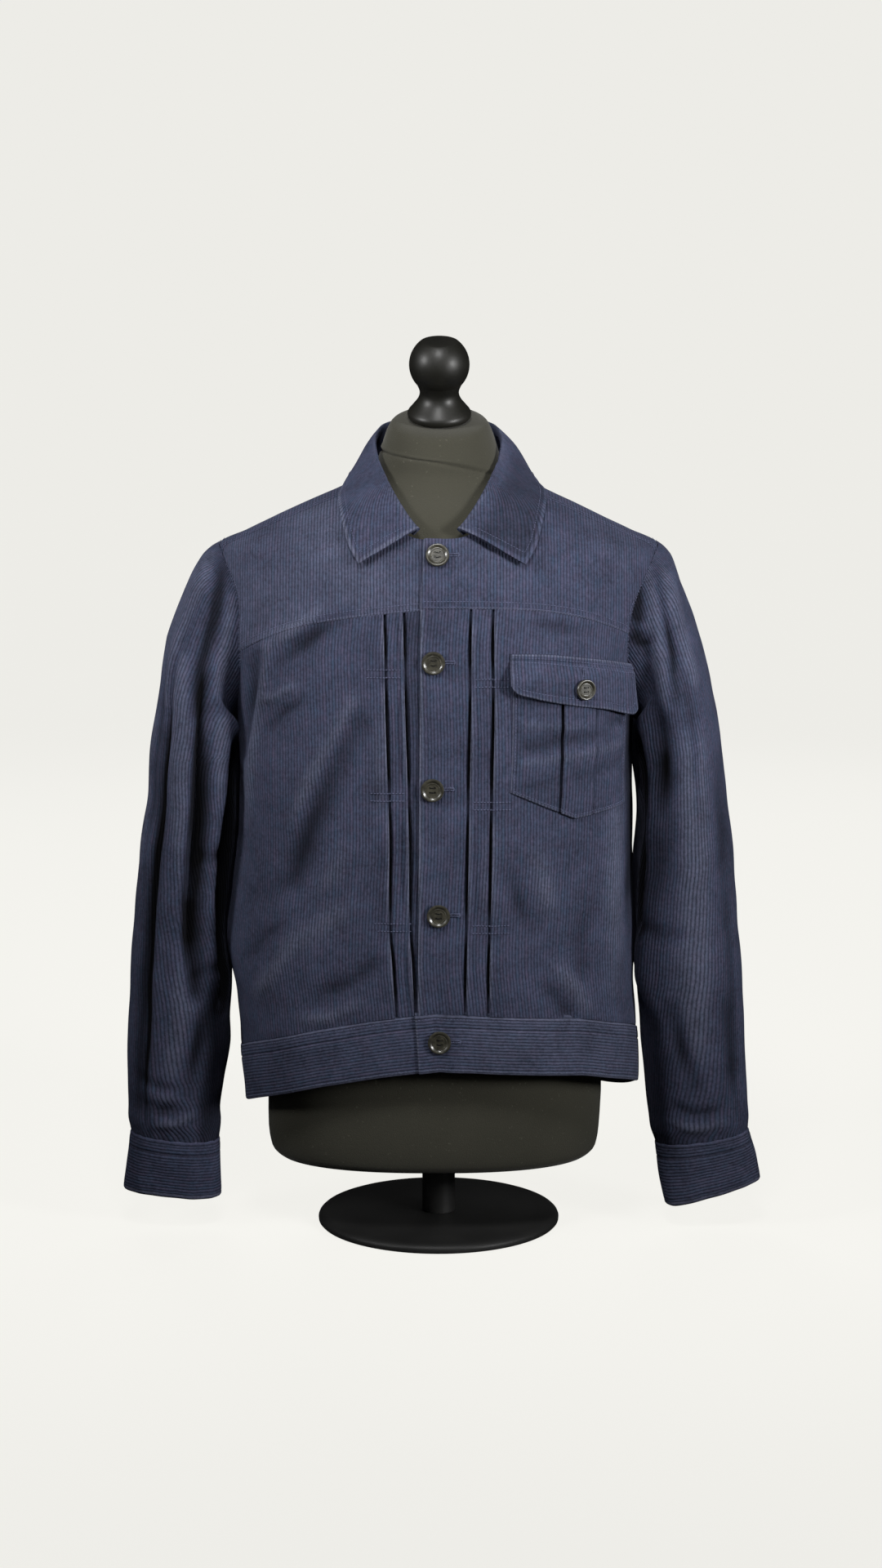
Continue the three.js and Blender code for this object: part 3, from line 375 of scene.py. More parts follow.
def drape(p):
    """How far the worn cloth stands off the smooth body, the same for every panel at one place."""
    front = crease_height(p, FRONT_CREASES) * smooth((-p[..., 1] - 20) / 40)
    back = crease_height(p, BACK_CREASES) * smooth((p[..., 1] - 20) / 40)
    held = smooth((700 - p[..., 2]) / 60)          # the yokes lie close on the shoulders
    return (front + back + slack(p)) * (0.3 + 0.7 * held)


def crease_wear_and_shade(p):
    """Painted shade in the creases' furrows and paler ridges, part rubbed pile and part painted highlight, by
    the creases alone.
    """
    return nap_wear_and_shade(drape(p) - slack(p))


def lap_lift(side_name, distance):
    """How far the left side is lifted by the right one under it, by the distance from its edge."""
    return (LAP_LIFT if side_name == "left" else 0.0) * (1 - smooth((distance - 30) / 18))


# A knife pleat across its fold: distance beyond the fold line, and height of the cloth.
PLEAT = np.array([(-3.7, 0), (-2.9, -0.4), (-2.4, -1.6), (-2.1, -3.6), (-1.0, -6.2), (0.8, -6.0), (2.0, -4.0),
                  (2.1, -1.7), (1.1, -0.3), (0.3, 0.5), (-0.1, 1.4), (0.1, 2.2), (0.9, 2.8), (2.2, 3.0)])
# How worn the pile is at each of those places, and below nothing, how much painted shade it gets in the gap.
PLEAT_WEAR_AND_SHADE = [-0.05, -0.25, -0.85, -1, -1, -1, -1, -1, -0.9, -0.3, 0.5, 0.75, 0.45, 0.2]
# The left side's turned edge: distance from the edge, and height; and how rubbed its rim is.
TURNED_EDGE = np.array([(8, -1.9), (2.2, -2.1), (0.5, -1.8), (0, -1.0), (0.05, -0.4), (0.4, -0.05),
                        (1.2, 0.05)])
EDGE_WEAR = [0.45, 0.8, 0.8, 0.5, 0.2]
# Distances of each front's two folds from its edge, along the yoke seam and along the waistband.
FOLDS = {"left": {"yoke": (50.5, 72.5), "band": (48.5, 71.5)},
         "right": {"yoke": (45, 64), "band": (34, 53)}}
FOLD_FADES = 26              # how far beyond the outer fold its cloth sinks back
TACK_HEIGHTS = {"left": (583, 461.5, 337.5), "right": (592.5, 470.5, 340)}


def front_columns(side_name, seam, whole):
    """Distance from the front edge, height, and kind, of each column of a front panel."""
    ahead, behind = 5.2, 4.4               # a pleat's own columns end this far from its fold line
    column_width = 2.8
    columns = [(0, 0, "flat")]
    flat_from = 2.5
    if side_name == "left":
        columns = [(x, h, "edge") for x, h in TURNED_EDGE]
        flat_from = 3
    last_fold = 0
    for fold, yoke_fold in zip(FOLDS[side_name][seam], FOLDS[side_name]["yoke"]):
        count = max(2, round((yoke_fold - last_fold - 6) / column_width))
        last_fold = yoke_fold
        columns += [(x, 0, "flat") for x in np.linspace(flat_from, fold - ahead, count)]
        columns += [(fold + x, h, "pleat") for x, h in PLEAT]
        flat_from = fold + behind
    top = PLEAT[-1, 1]
    fades = np.linspace(flat_from, fold + FOLD_FADES, 9)[:-1]
    columns += [(x, top * (1 - smooth((x - fold) / FOLD_FADES)), "pleat") for x in fades]
    columns += [(x, 0, "flat") for x in np.linspace(fold + FOLD_FADES, whole, 46)]
    return columns


def panel_rows(count, rim=(0, 0.006, 0.014)):
    """Shares of the rows of a panel, closer together at its seams."""
    inner = np.linspace(0.024, 0.976, count)
    return np.array([*rim, *inner, *(1 - np.array(rim[::-1]))])


def rim_dip(grid, edges, depth=0.35, reach=2.0):
    """The cloth turns in at a seam: how far each point of a grid drops near the named edges."""
    drop = np.zeros(grid.shape[:2])
    lines = {"bottom": grid[:1], "top": grid[-1:], "start": grid[:, :1], "end": grid[:, -1:]}
    for edge in edges:
        from_line = np.linalg.norm(grid - lines[edge], axis=-1)
        drop = np.maximum(drop, depth * (1 - smooth(from_line / reach)) ** 1.5)
    return -drop


class Value:
    """A shader socket that takes part in sums and products."""

    def __init__(self, finish, socket):
        self.finish = finish
        self.socket = socket

    def math(self, operation, *others):
        return self.finish.node("ShaderNodeMath", {"operation": operation}, [self, *others])

    def __add__(self, other):
        return self.math("ADD", other)

    def __sub__(self, other):
        return self.math("SUBTRACT", other)

    def __rsub__(self, other):
        return self.finish.node("ShaderNodeMath", {"operation": "SUBTRACT"}, [other, self])

    def __mul__(self, other):
        return self.math("MULTIPLY", other)

    def __pow__(self, other):
        return self.math("POWER", other)

    __radd__ = __add__
    __rmul__ = __mul__


class Finish:
    """A material under construction."""

    def __init__(self, name):
        self.material = bpy.data.materials.new(name)
        self.material.use_nodes = True
        self.tree = self.material.node_tree
        self.shader = self.tree.nodes["Principled BSDF"]
        self.place = self.node("ShaderNodeTexCoord", output=3)

    def node(self, kind, settings=None, inputs=(), output=0):
        """Adds a node: first its settings, then the values or links of its sockets."""
        made = self.tree.nodes.new(kind)
        for key, value in (settings or {}).items():
            if key == "stops":
                for stop, (place, colour) in zip(made.color_ramp.elements, value):
                    stop.position = place
                    stop.color = colour
            else:
                setattr(made, key, value)
        for key, value in inputs.items() if isinstance(inputs, dict) else enumerate(inputs):
            if isinstance(value, Value):
                self.tree.links.new(value.socket, made.inputs[key])
            else:
                made.inputs[key].default_value = value
        return Value(self, made.outputs[output])

    def mix(self, share, first, second, blend="MIX"):
        settings = {"data_type": "RGBA", "blend_type": blend}
        return self.node("ShaderNodeMix", settings, {0: share, 6: first, 7: second}, output=2)

    def noise(self, scale, detail=2.0, distortion=0.0):
        """Noise through the piece, in lumps one scale-th of a metre wide."""
        inputs = {"Vector": self.place, "Scale": scale, "Detail": detail, "Distortion": distortion}
        return self.node("ShaderNodeTexNoise", {"noise_dimensions": "3D"}, inputs)

    def bump(self, height, distance):
        return self.node("ShaderNodeBump", None, {"Height": height, "Distance": distance, "Strength": 1.0})

    def surface(self, **values):
        """Sets the shader's sockets: a Value is linked, a number or colour is set."""
        for key, value in values.items():
            socket = self.shader.inputs[key.replace("_", " ")]
            if isinstance(value, Value):
                self.tree.links.new(value.socket, socket)
            else:
                socket.default_value = value
        return self.material


def colour(red, green, blue):
    """Scene colour from 0-255 screen values."""
    shares = (((c / 255 + 0.055) / 1.055) ** 2.4 if c > 10 else c / 3295 for c in (red, green, blue))
    return (*shares, 1)


def corduroy(name):
    """Navy corduroy: rounded ribs of cut pile between furrows painted dark as shade, faintly violet and teal
    by turns.
    """
    finish = Finish(name)
    cloth = finish.node("ShaderNodeUVMap", {"uv_map": "cloth"})
    over = finish.node("ShaderNodeSeparateXYZ", None, [cloth])
    wear_and_shade = finish.node("ShaderNodeAttribute", {"attribute_name": "wear_and_shade"}, output=2)

    # Each rib: its number, and its height from 0 in the furrow to 1 on its crest.
    waver = (finish.noise(95.0, 2.0) - 0.5) * 0.34 + (finish.noise(640.0, 1.0) - 0.5) * 0.30
    count = over * (1000 / WALE) + waver
    which = count.math("FLOOR")
    rib = 1 - ((count.math("FRACT") * 2 - 1).math("ABSOLUTE")) ** 2.0
    chance = finish.node("ShaderNodeTexWhiteNoise", {"noise_dimensions": "1D"}, {"W": which})
    other = (which * 0.5).math("FRACT") * 2

    # The crest's colour, paler where the pile is rubbed or a painted highlight lies, and the furrow between
    # it and the next.
    shift = other * 0.10 + chance * 0.18 + finish.noise(120.0, 4.0) - 0.1
    crest = finish.mix(shift, colour(84, 76, 99), colour(56, 74, 97))
    rubbed_and_lit = finish.mix(wear_and_shade, crest, colour(114, 118, 138))
    even = finish.noise(170.0, 3.0)
    # The furrows' darker colour is partly painted shade between the ribs.
    pile = finish.mix(rib ** 1.3 * (1.05 - even * 0.7) + even * 0.40, colour(37, 40, 53), rubbed_and_lit)

    # Light and dark patches of the nap, a few pale fibres, and painted shade, almost black, where the
    # attribute is below nothing.
    nap = finish.noise(42.0, 4.0)
    fibre = finish.noise(1400.0, 2.0)
    matted = finish.noise(300.0, 3.0)
    uneven = nap * 0.75 + finish.noise(11.0, 3.0) * 0.46 + matted * 1.05 - 0.20
    grey = finish.node("ShaderNodeCombineColor", None, [uneven, uneven, uneven])
    tone = finish.mix(1.0, pile, grey, "MULTIPLY")
    speck = finish.mix(fibre.math("GREATER_THAN", 0.62) * 0.10, tone, colour(125, 128, 148))
    return finish.surface(
        Base_Color=finish.mix(wear_and_shade * -1, speck, colour(3, 3, 5)),
        Roughness=0.86 + nap * 0.12,
        Normal=finish.bump(rib * (1.1 - even * 0.7) + fibre * 0.14 + matted * 0.5, 0.0006),
        Specular_IOR_Level=0.12,
        Sheen_Weight=0.10,
        Sheen_Roughness=0.45,
        Sheen_Tint=colour(150, 156, 190),
    )


def thread():
    """Navy sewing thread, a little paler than the cloth."""
    finish = Finish("navy_thread")
    twist = finish.noise(2600.0, 1.0)
    return finish.surface(
        Base_Color=finish.mix(twist, colour(72, 76, 101), colour(104, 109, 137)),
        Roughness=0.6,
        Specular_IOR_Level=0.3,
        Normal=finish.bump(twist, 0.0002),
    )


CORDUROY = corduroy("navy_corduroy")
THREAD = thread()


def whole_piece(name, mesh, material=None):
    """Puts a finished mesh into the scene, on the part's one body."""
    if material:
        mesh.materials.append(material)
    piece = bpy.data.objects.new(name, mesh)
    bpy.context.collection.objects.link(piece)
    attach(piece, "root")
    return piece


def cloth_piece(node, points, across, wear_and_shade, flat,
                along=None, tube=False, flip=False, thick=CLOTH, offset=-1.0):
    """A sheet through a grid of points in mm, which stands for the solid of the same name.

    Across and along are the cloth's own lengths and become its UV map. Flat, its cut in metres, is not used.
    """
    rows, columns = points.shape[:2]
    bm = bmesh.new()
    bmesh.ops.create_grid(bm, x_segments=columns - 1, y_segments=rows - 1, size=1)
    mesh = bpy.data.meshes.new(node)
    bm.to_mesh(mesh)
    bm.free()
    mesh.vertices.foreach_set("co", (points.reshape(-1, 3) * MM).ravel())
    corner = np.empty(len(mesh.loops), int)
    mesh.loops.foreach_get("vertex_index", corner)
    if along is None:
        steps = np.linalg.norm(np.diff(points, axis=0), axis=-1)
        along = np.concatenate([np.zeros((1, columns)), np.cumsum(steps, axis=0)])
    flat_place = np.stack([across.reshape(-1), along.reshape(-1)], -1)[corner] * MM
    mesh.uv_layers.new(name="cloth").uv.foreach_set("vector", flat_place.ravel())
    mesh.attributes.new("wear_and_shade", "FLOAT", "POINT").data.foreach_set("value", wear_and_shade.reshape(-1))
    bm = bmesh.new()
    bm.from_mesh(mesh)
    if tube:
        bm.verts.ensure_lookup_table()
        pairs = {bm.verts[r * columns + columns - 1]: bm.verts[r * columns] for r in range(rows)}
        bmesh.ops.weld_verts(bm, targetmap=pairs)
    if flip:
        bmesh.ops.reverse_faces(bm, faces=bm.faces)
    bm.to_mesh(mesh)
    bm.free()
    mesh.shade_smooth()
    sheet = bpy.data.objects.new(node, mesh)
    bpy.context.collection.objects.link(sheet)
    wall = sheet.modifiers.new("wall", "SOLIDIFY")
    wall.thickness = thick * MM
    wall.offset = offset
    wall.use_even_offset = False
    walled = bpy.data.meshes.new_from_object(sheet.evaluated_get(bpy.context.evaluated_depsgraph_get()))
    bpy.data.objects.remove(sheet)
    bpy.data.meshes.remove(mesh)
    walled.name = node + "_cloth"
    walled.set_sharp_from_angle(angle=math.radians(72))        # the cut edges, not the folds
    piece = whole_piece(node + "_cloth", walled, CORDUROY)
    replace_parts(piece, node)


def stitches(name, lines, thick=0.62):
    """Rows of sewing thread. Each line is a run of points and the cloth's outward directions there."""
    pitch = 3.2
    long = 2.75
    sunk = 0.12
    bm = bmesh.new()
    for line, normals in lines:
        walked = lengths(line)
        middles = np.arange(pitch / 2, walked[-1], pitch)
        centre = at_distances(line, middles)
        ahead = unit(at_distances(line, middles + 0.4) - at_distances(line, middles - 0.4))
        up = unit(np.stack([np.interp(middles, walked, normals[:, k]) for k in range(3)], -1))
        side = unit(np.cross(up, ahead))
        up = np.cross(ahead, side)
        for c, a, s, n in zip(centre, ahead, side, up):
            axes = np.array([a * long / 2, s * thick / 2, n * thick / 2]).T
            shape = Matrix(axes.tolist()).to_4x4()
            shape.translation = Vector(c + n * (thick / 2 - sunk))
            bmesh.ops.create_icosphere(bm, subdivisions=1, radius=1, matrix=shape)
    bmesh.ops.scale(bm, vec=(MM, MM, MM), verts=bm.verts)
    mesh = bpy.data.meshes.new(name)
    bm.to_mesh(mesh)
    bm.free()
    mesh.shade_smooth()
    whole_piece(name, mesh, THREAD)


def surface_line(line, lift=0.0):
    """Sewing that follows a line drawn on the smooth body, laid on the draped cloth."""
    on = onto_body(line)
    normals = outward(on)
    return on + normals * (drape(on) + lift)[..., None], normals


for side_name, side in SIDES.items():
    seam_top = front_yoke_seam(side_name)
    past_middle = float(angle_of(at_x(EDGE_X[side_name]["band"], 250.0))) - side * 360
    seam_foot = band_seam(past_middle, SIDE_ANGLE[side_name])
    columns = front_columns(side_name, "yoke", lengths(seam_top)[-1])
    foot_columns = front_columns(side_name, "band", lengths(seam_foot)[-1])
    distance, profile = (np.array([column[k] for column in columns]) for k in (0, 1))
    kinds = np.array([column[2] for column in columns])
    is_pleat = kinds == "pleat"
    top_edge = at_distances(seam_top, distance)
    foot_edge = at_distances(seam_foot, [column[0] for column in foot_columns])
    v = panel_rows(132)                    # v is a row's share of the panel's height
    front_edge = foot_edge[0] + v[:, None] * (top_edge[0] - foot_edge[0])
    outer_edge = panel_side(side_name, v, (8, 5), "underarm", "yoke_front")
    base = onto_body(fill(foot_edge, top_edge, front_edge, outer_edge, v))

    # A pleat is held flat at its tacks and seams, and opens a little in between.
    z = base[:, :, 2]
    held = np.ones_like(z)
    for level in (*TACK_HEIGHTS[side_name], YOKE_SEAM_Z, BAND_TOP_Z):
        held = np.minimum(held, smooth(np.abs(z - level) / 42))
    opening = 0.45 + 0.75 * held + 0.12 * np.sin(z / 19 + side)
    height = drape(base) + profile * np.where(is_pleat, opening, 1)
    height = height + lap_lift(side_name, distance) + rim_dip(base, ("bottom", "top", "end"))
    points = base + outward(base) * height[..., None]

    # The cloth taken up in a fold moves the ribs on, so that they run unbroken into and out of it.
    steps = np.diff(distance)
    in_fold = (kinds[1:] == kinds[:-1]) & (kinds[1:] != "flat") & (np.abs(steps) < 4)
    taken = np.cumsum([0, *np.where(in_fold, np.hypot(steps, np.diff(profile)) - steps, 0)])
    across = np.abs(round_distance(base, -1) - EDGE_X[side_name]["yoke"]) + taken

    # Rubbed pile on the pleats' fold edges and painted shade in their gaps, fullest where they open;
    # elsewhere the creases' painted highlight and shade, and painted shade beside the sleeve.
    pleat_wear_and_shade = np.zeros(len(kinds))
    for start in np.flatnonzero(is_pleat[1:] & ~is_pleat[:-1]) + 1:
        pleat_wear_and_shade[start:start + len(PLEAT_WEAR_AND_SHADE)] = PLEAT_WEAR_AND_SHADE
    wear_and_shade = crease_wear_and_shade(base) + shade_beside_sleeve(base)
    wear_and_shade = np.where(pleat_wear_and_shade != 0, pleat_wear_and_shade * (0.12 + 0.88 * np.minimum(held * 2.2, 1)), wear_and_shade)
    if side_name == "left":
        wear_and_shade[:, 3:8] = np.maximum(wear_and_shade[:, 3:8], EDGE_WEAR)
    else:
        # The right front sinks in shade between the lap and its first fold.
        sunk = smooth((distance - 20) / 8) * (1 - smooth((distance - 41) / 5))
        wear_and_shade = wear_and_shade - 0.28 * sunk * smooth((700 - z) / 60)
    cut_width = 0.335 if side_name == "left" else 0.310
    cloth_piece(f"front_{side_name}", points, across, wear_and_shade, (cut_width, 0.405), flip=side < 0)

    # Two short rows of stitches tack each outer fold down, at three heights.
    tacks = []
    for level in TACK_HEIGHTS[side_name]:
        share = (level - BAND_TOP_Z) / (YOKE_SEAM_Z - BAND_TOP_Z)
        fold = FOLDS[side_name]["band"][1] * (1 - share) + FOLDS[side_name]["yoke"][1] * share
        edge_x = EDGE_X[side_name]["band"] * (1 - share) + EDGE_X[side_name]["yoke"] * share
        reach = np.linspace(fold - 19, fold + 17, 40)
        beyond = reach - fold
        raised = np.where(beyond > 0, 2.6 * (1 - smooth(beyond / FOLD_FADES)), 0.2) * 0.55 + 0.1
        for up in (3.8, -3.8):
            on, out = surface_line(at_x(edge_x + side * reach, np.full(40, level + up)))
            tacks.append((on + out * raised[:, None], out))
    stitches(f"front_{side_name}_tacks", tacks, thick=1.0)

# ---- Yokes ---------------------------------------------------------------------------------------
# Two front yokes run from the yoke seams up to a shoulder seam that lies forward of the ridge.
# One back yoke crosses the shoulder blades. Each yoke seam is stitched down with two rows.


YOKE_ROWS = (1.6, 7.2)       # how far above a yoke's seam its two rows of stitches run


def front_neckline(side_name, shares):
    """A front yoke's neckline, from its edge to the shoulder seam."""
    side = SIDES[side_name]
    keys = [at_x(x, z) for x, z in ((EDGE_X[side_name]["neck"], 722.0), (side * 23, 723.0),
                                    (side * 48, 736.0), (side * 65, 754.0), (side * 71, 771.0))]
    return curve(keys, shares)


def shoulder_seam(side_name, shares):
    """A shoulder seam, from the neck to the armhole."""
    start = front_neckline(side_name, [1.0])[0]
    end = at_y(*SHOULDER_END, SIDES[side_name])
    return onto_body(start + np.asarray(shares)[:, None] * (end - start))


def even_points(line_of, count):
    """Points spread evenly along a curve."""
    fine = np.linspace(0, 1, 200)
    walked = lengths(line_of(fine))
    return line_of(np.interp(np.linspace(0, walked[-1], count), walked, fine))


def across_yoke(p):
    """Where a yoke's ribs lie: they run fore and aft, straight over the shoulder."""
    x = np.linspace(0, 229, 400)
    depth = 122 * (1 - (x / 230) ** 2.3) ** (1 / 2.3)
    walked = lengths(np.stack([x, depth, 0 * x], -1))
    return np.interp(np.abs(p[..., 0]), x, walked) * np.sign(p[..., 0])


def seam_lift(grid):
    """The turnings under a yoke's seam lift its cloth a little."""
    return 0.5 * np.exp(-(np.linalg.norm(grid - grid[:1], axis=-1) / 9) ** 2)


for side_name, side in SIDES.items():
    seam = front_yoke_seam(side_name)
    neck = even_points(lambda s: front_neckline(side_name, s), 34)
    shoulder = even_points(lambda s: shoulder_seam(side_name, s), 50)
    top_edge = np.concatenate([neck, shoulder[1:]])
    # The seam's columns match the neckline's and the shoulder's.
    whole = lengths(seam)[-1]
    neck_end = (0.30 if side_name == "left" else 0.27) * whole
    distances = np.concatenate([np.linspace(0, neck_end, 34), np.linspace(neck_end, whole, 50)[1:]])
    drops = np.zeros(len(distances))
    if side_name == "left":
        edge, edge_drop = TURNED_EDGE.T
        top_edge = at_distances(top_edge, np.concatenate([edge, lengths(top_edge)[1:]]))
        distances = np.concatenate([edge, distances[1:]])
        drops = np.concatenate([edge_drop, drops[1:]])
    foot_edge = at_distances(seam, distances)
    v = panel_rows(44, rim=(0, 0.012, 0.03))
    v = v[(v < 0.97) | (v > 0.985)]
    inner = foot_edge[0] + v[:, None] * (top_edge[0] - foot_edge[0])
    outer = armhole(side_name, "yoke_front", "shoulder", v)
    base = onto_body(fill(foot_edge, top_edge, inner, outer, v))
    height = drape(base) + lap_lift(side_name, np.abs(distances)) + seam_lift(base)
    height = height + rim_dip(base, ("bottom", "top", "end"), depth=0.25, reach=1.6)
    points = base + outward(base) * (height + drops)[..., None]
    wear_and_shade = crease_wear_and_shade(base)
    if side_name == "left":
        wear_and_shade[:, 3:7] = EDGE_WEAR[1:]
    else:
        # Painted light: the wearer's right yoke is made a little paler all over, as if better lit.
        wear_and_shade = wear_and_shade + 0.15
    wear_and_shade[:2] = np.maximum(wear_and_shade[:2], 0.25)
    cloth_piece(f"front_yoke_{side_name}", points, across_yoke(base), wear_and_shade, (0.225, 0.135), flip=side < 0)
    rows = []
    for up in YOKE_ROWS:
        line = (seam + [0, 0, up])[4:-4:2]
        on, out = surface_line(line, 0.35)
        rows.append((on + out * lap_lift(side_name, lengths(line))[:, None], out))
    stitches(f"front_yoke_{side_name}_stitches", rows)

neck_keys = [at_x(71.0, 771.0), at_y(0, 777.0, 1),
             *(at_x(x, 777.5, 1) for x in (62.0, 34.0, 0.0, -34.0, -62.0)),
             at_y(0, 777.0, -1), at_x(-71.0, 771.0)]
back_neck = even_points(lambda s: curve(neck_keys, s), 50)
top_edge = np.concatenate([even_points(lambda s: shoulder_seam("left", s), 42)[::-1], back_neck[1:-1],
                           even_points(lambda s: shoulder_seam("right", s), 42)])
blade_left, blade_right = at_y(*BLADE_END, 1), at_y(*BLADE_END, -1)
back_seam = at_x(np.linspace(blade_left[0], blade_right[0], 300), np.full(300, float(BLADE_END[1])), 1)
back_seam[0], back_seam[-1] = blade_left, blade_right
whole = lengths(back_seam)[-1]
foot_edge = at_distances(back_seam, np.linspace(0, whole, len(top_edge)))
v = panel_rows(50, rim=(0, 0.01, 0.024))
ends = [armhole(side_name, "shoulder", "yoke_back", 1 - v) for side_name in SIDES]
base = onto_body(fill(foot_edge, top_edge, *ends, v))
height = drape(base) + seam_lift(base)
height = height + rim_dip(base, ("bottom", "top", "start", "end"), depth=0.4, reach=1.6)
points = base + outward(base) * height[..., None]
cloth_piece("back_yoke", points, across_yoke(base), crease_wear_and_shade(base), (0.485, 0.165))
rows = [surface_line(back_seam[4:-4:2] + [0, 0, up], 0.4) for up in YOKE_ROWS]
for side_name in SIDES:
    behind = shoulder_seam(side_name, np.linspace(0.02, 0.98, 90))
    rows += [surface_line(behind + [0, back, 0.3 * back], 0.35) for back in (1.8, 7.0)]
stitches("back_yoke_stitches", rows)

# ---- Back ----------------------------------------------------------------------------------------
# One plain panel from the back yoke to the waistband, between the side seams. It hangs from the
# shoulder blades in soft folds that the waistband gathers in a little.

seam_foot = band_seam(SIDE_ANGLE["left"], SIDE_ANGLE["right"])
foot_edge = at_distances(seam_foot, np.linspace(0, lengths(seam_foot)[-1], 150))
top_edge = at_distances(back_seam, np.linspace(0, whole, 150))
v = panel_rows(120)
sides = [panel_side(side_name, v, (8, 4), "yoke_back", "end") for side_name in SIDES]
base = onto_body(fill(foot_edge, top_edge, *sides, v))
height = drape(base) + rim_dip(base, ("bottom", "top", "start", "end"))
points = base + outward(base) * height[..., None]
wear_and_shade = crease_wear_and_shade(base) + shade_beside_sleeve(base)
cloth_piece("back_panel", points, round_distance(base, 1), wear_and_shade, (0.50, 0.47))

# Topstitching along the armholes, on the body's side of each seam.
rows = []
for side_name in SIDES:
    for first, last in STRETCHES:
        line = armhole(side_name, first, last, np.linspace(0.01, 0.99, 60))
        away = outward(line)
        inward = np.array([0.0, 0.0, 640.0]) - line
        inward = unit(inward - (inward * away).sum(-1, keepdims=True) * away)
        rows += [surface_line(line + inward * reach, 0.35) for reach in (1.8, 7.2)]
stitches("armhole_stitches", rows)

# ---- Waistband -----------------------------------------------------------------------------------
# One strip of two layers with its ribs running round it, from the hidden end under the lap, round
# the back, to the buttonholed end on top. It is topstitched near its seam and along the hem.

TWO_LAYERS = 2.2             # how thick two layers are made
# How far the band stands off the body, by the distance down from its seam: its top is tucked under
# the panels, and the topstitching presses it in.
BAND_PROFILE = [
    (-3.5, -2.9), (-0.5, -2.3), (0.5, -0.9), (0.8, -0.1), (1.5, 0.55), (2.6, 0.8), (3.4, 0.7), (4.4, 0.45),
    (5.4, 0.75), (7, 0.95), (12.6, 0.9), (13.9, 0.15), (14.9, 0.75), (16.2, 0.9), (53, 1.0), (54.6, 0.85),
    (55.5, 0.6), (56.4, 0.8), (57.6, 0.75), (58.3, 0.3), (58.8, -0.4), (59, -0.9),
]


def onto_front(angle):
    """The same angles, from -90 at the middle front once round to 270."""
    for _ in range(2):
        angle = np.where(angle < -90, angle + 360, angle)
    return angle


band_angles = np.linspace(-87.2, -458.3, 1400)
folded = onto_front(band_angles)
walked = lengths(at_angle(body, folded, hem_height(folded)[0] + 30))
whole = walked[-1]
places = np.concatenate([np.linspace(0, whole - 60, 330), np.linspace(whole - 60, whole - 2, 24)[1:],
                         [whole - 1.2, whole - 0.5, whole - 0.1, whole]])
angles = onto_front(np.interp(places, walked, band_angles))
end_drop = np.interp(whole - places, [0, 0.1, 0.5, 1.2, 2], [-1.8, -0.9, -0.25, 0, 0])
lap = 3.0 * (1 - smooth((whole - places - 30) / 20)) + end_drop
downs = np.array([-3.5, -0.5, 0.5, 0.8, 1.5, 2.6, 3.4, 4.4, 5.4, 7, 9, 11, 12.6, 13.3, 13.9, 14.4, 14.9, 15.4,
                  16.2, 18, *np.linspace(21, 53, 12), 54.6, 55.5, 56.4, 57.6, 58.3, 58.8, 59.0])
stands = np.interp(downs, *zip(*BAND_PROFILE))[:, None]
down = downs[:, None]
base = at_angle(body, np.broadcast_to(angles, (len(downs), len(angles))),
                hem_height(angles)[0] + BAND_HEIGHT - down)
normal = outward(base)
ripple = 0.5 * np.sin(places / 47) * np.sin(down / 21 + places / 70)
behind = smooth((base[..., 1] + 40) / 60)
ripple = ripple + 0.9 * np.sin(places / 23 + 0.6 * np.sin(places / 61)) * behind * 0.6
ripple = ripple * smooth((whole - places - 10) / 60) * smooth(down / 20)
points = base + normal * (lap + stands + ripple)[..., None]
wear_and_shade = np.zeros(base.shape[:2])
wear_and_shade[-6:-1] = 0.35
wear_and_shade[2:6] = 0.2
wear_and_shade[:, -4:] = 0.5
# Painted light: the band is a little paler all over, and paler still on the front at the wearer's left, as if
# better lit.
wear_and_shade = wear_and_shade + 0.08 + 0.12 * smooth(base[..., 0] / 60) * (base[..., 1] < 0)
cloth_piece("waistband", points, np.broadcast_to(down, wear_and_shade.shape), wear_and_shade, (1.21, 0.059), thick=TWO_LAYERS,
            along=np.broadcast_to(places, wear_and_shade.shape))


def nearest(values, value):
    """Which of the values is nearest to one."""
    return int(np.argmin(np.abs(values - value)))


def row_stitches(points, normal, row):
    """Sewing along one row of a grid."""
    return points[row] + normal[row] * 0.05, normal[row]


stitches("waistband_stitches", [row_stitches(points[:, 2:-3], normal[:, 2:-3], nearest(downs, down))
                                for down in (4.4, 55.5)])

# ---- Sleeves -------------------------------------------------------------------------------------
# One-piece sleeves, set into the armholes, hang empty and a little in front of the side seams. Each
# falls in one or two deep folds from the shoulder, and crumples a little at the elbow and the cuff.

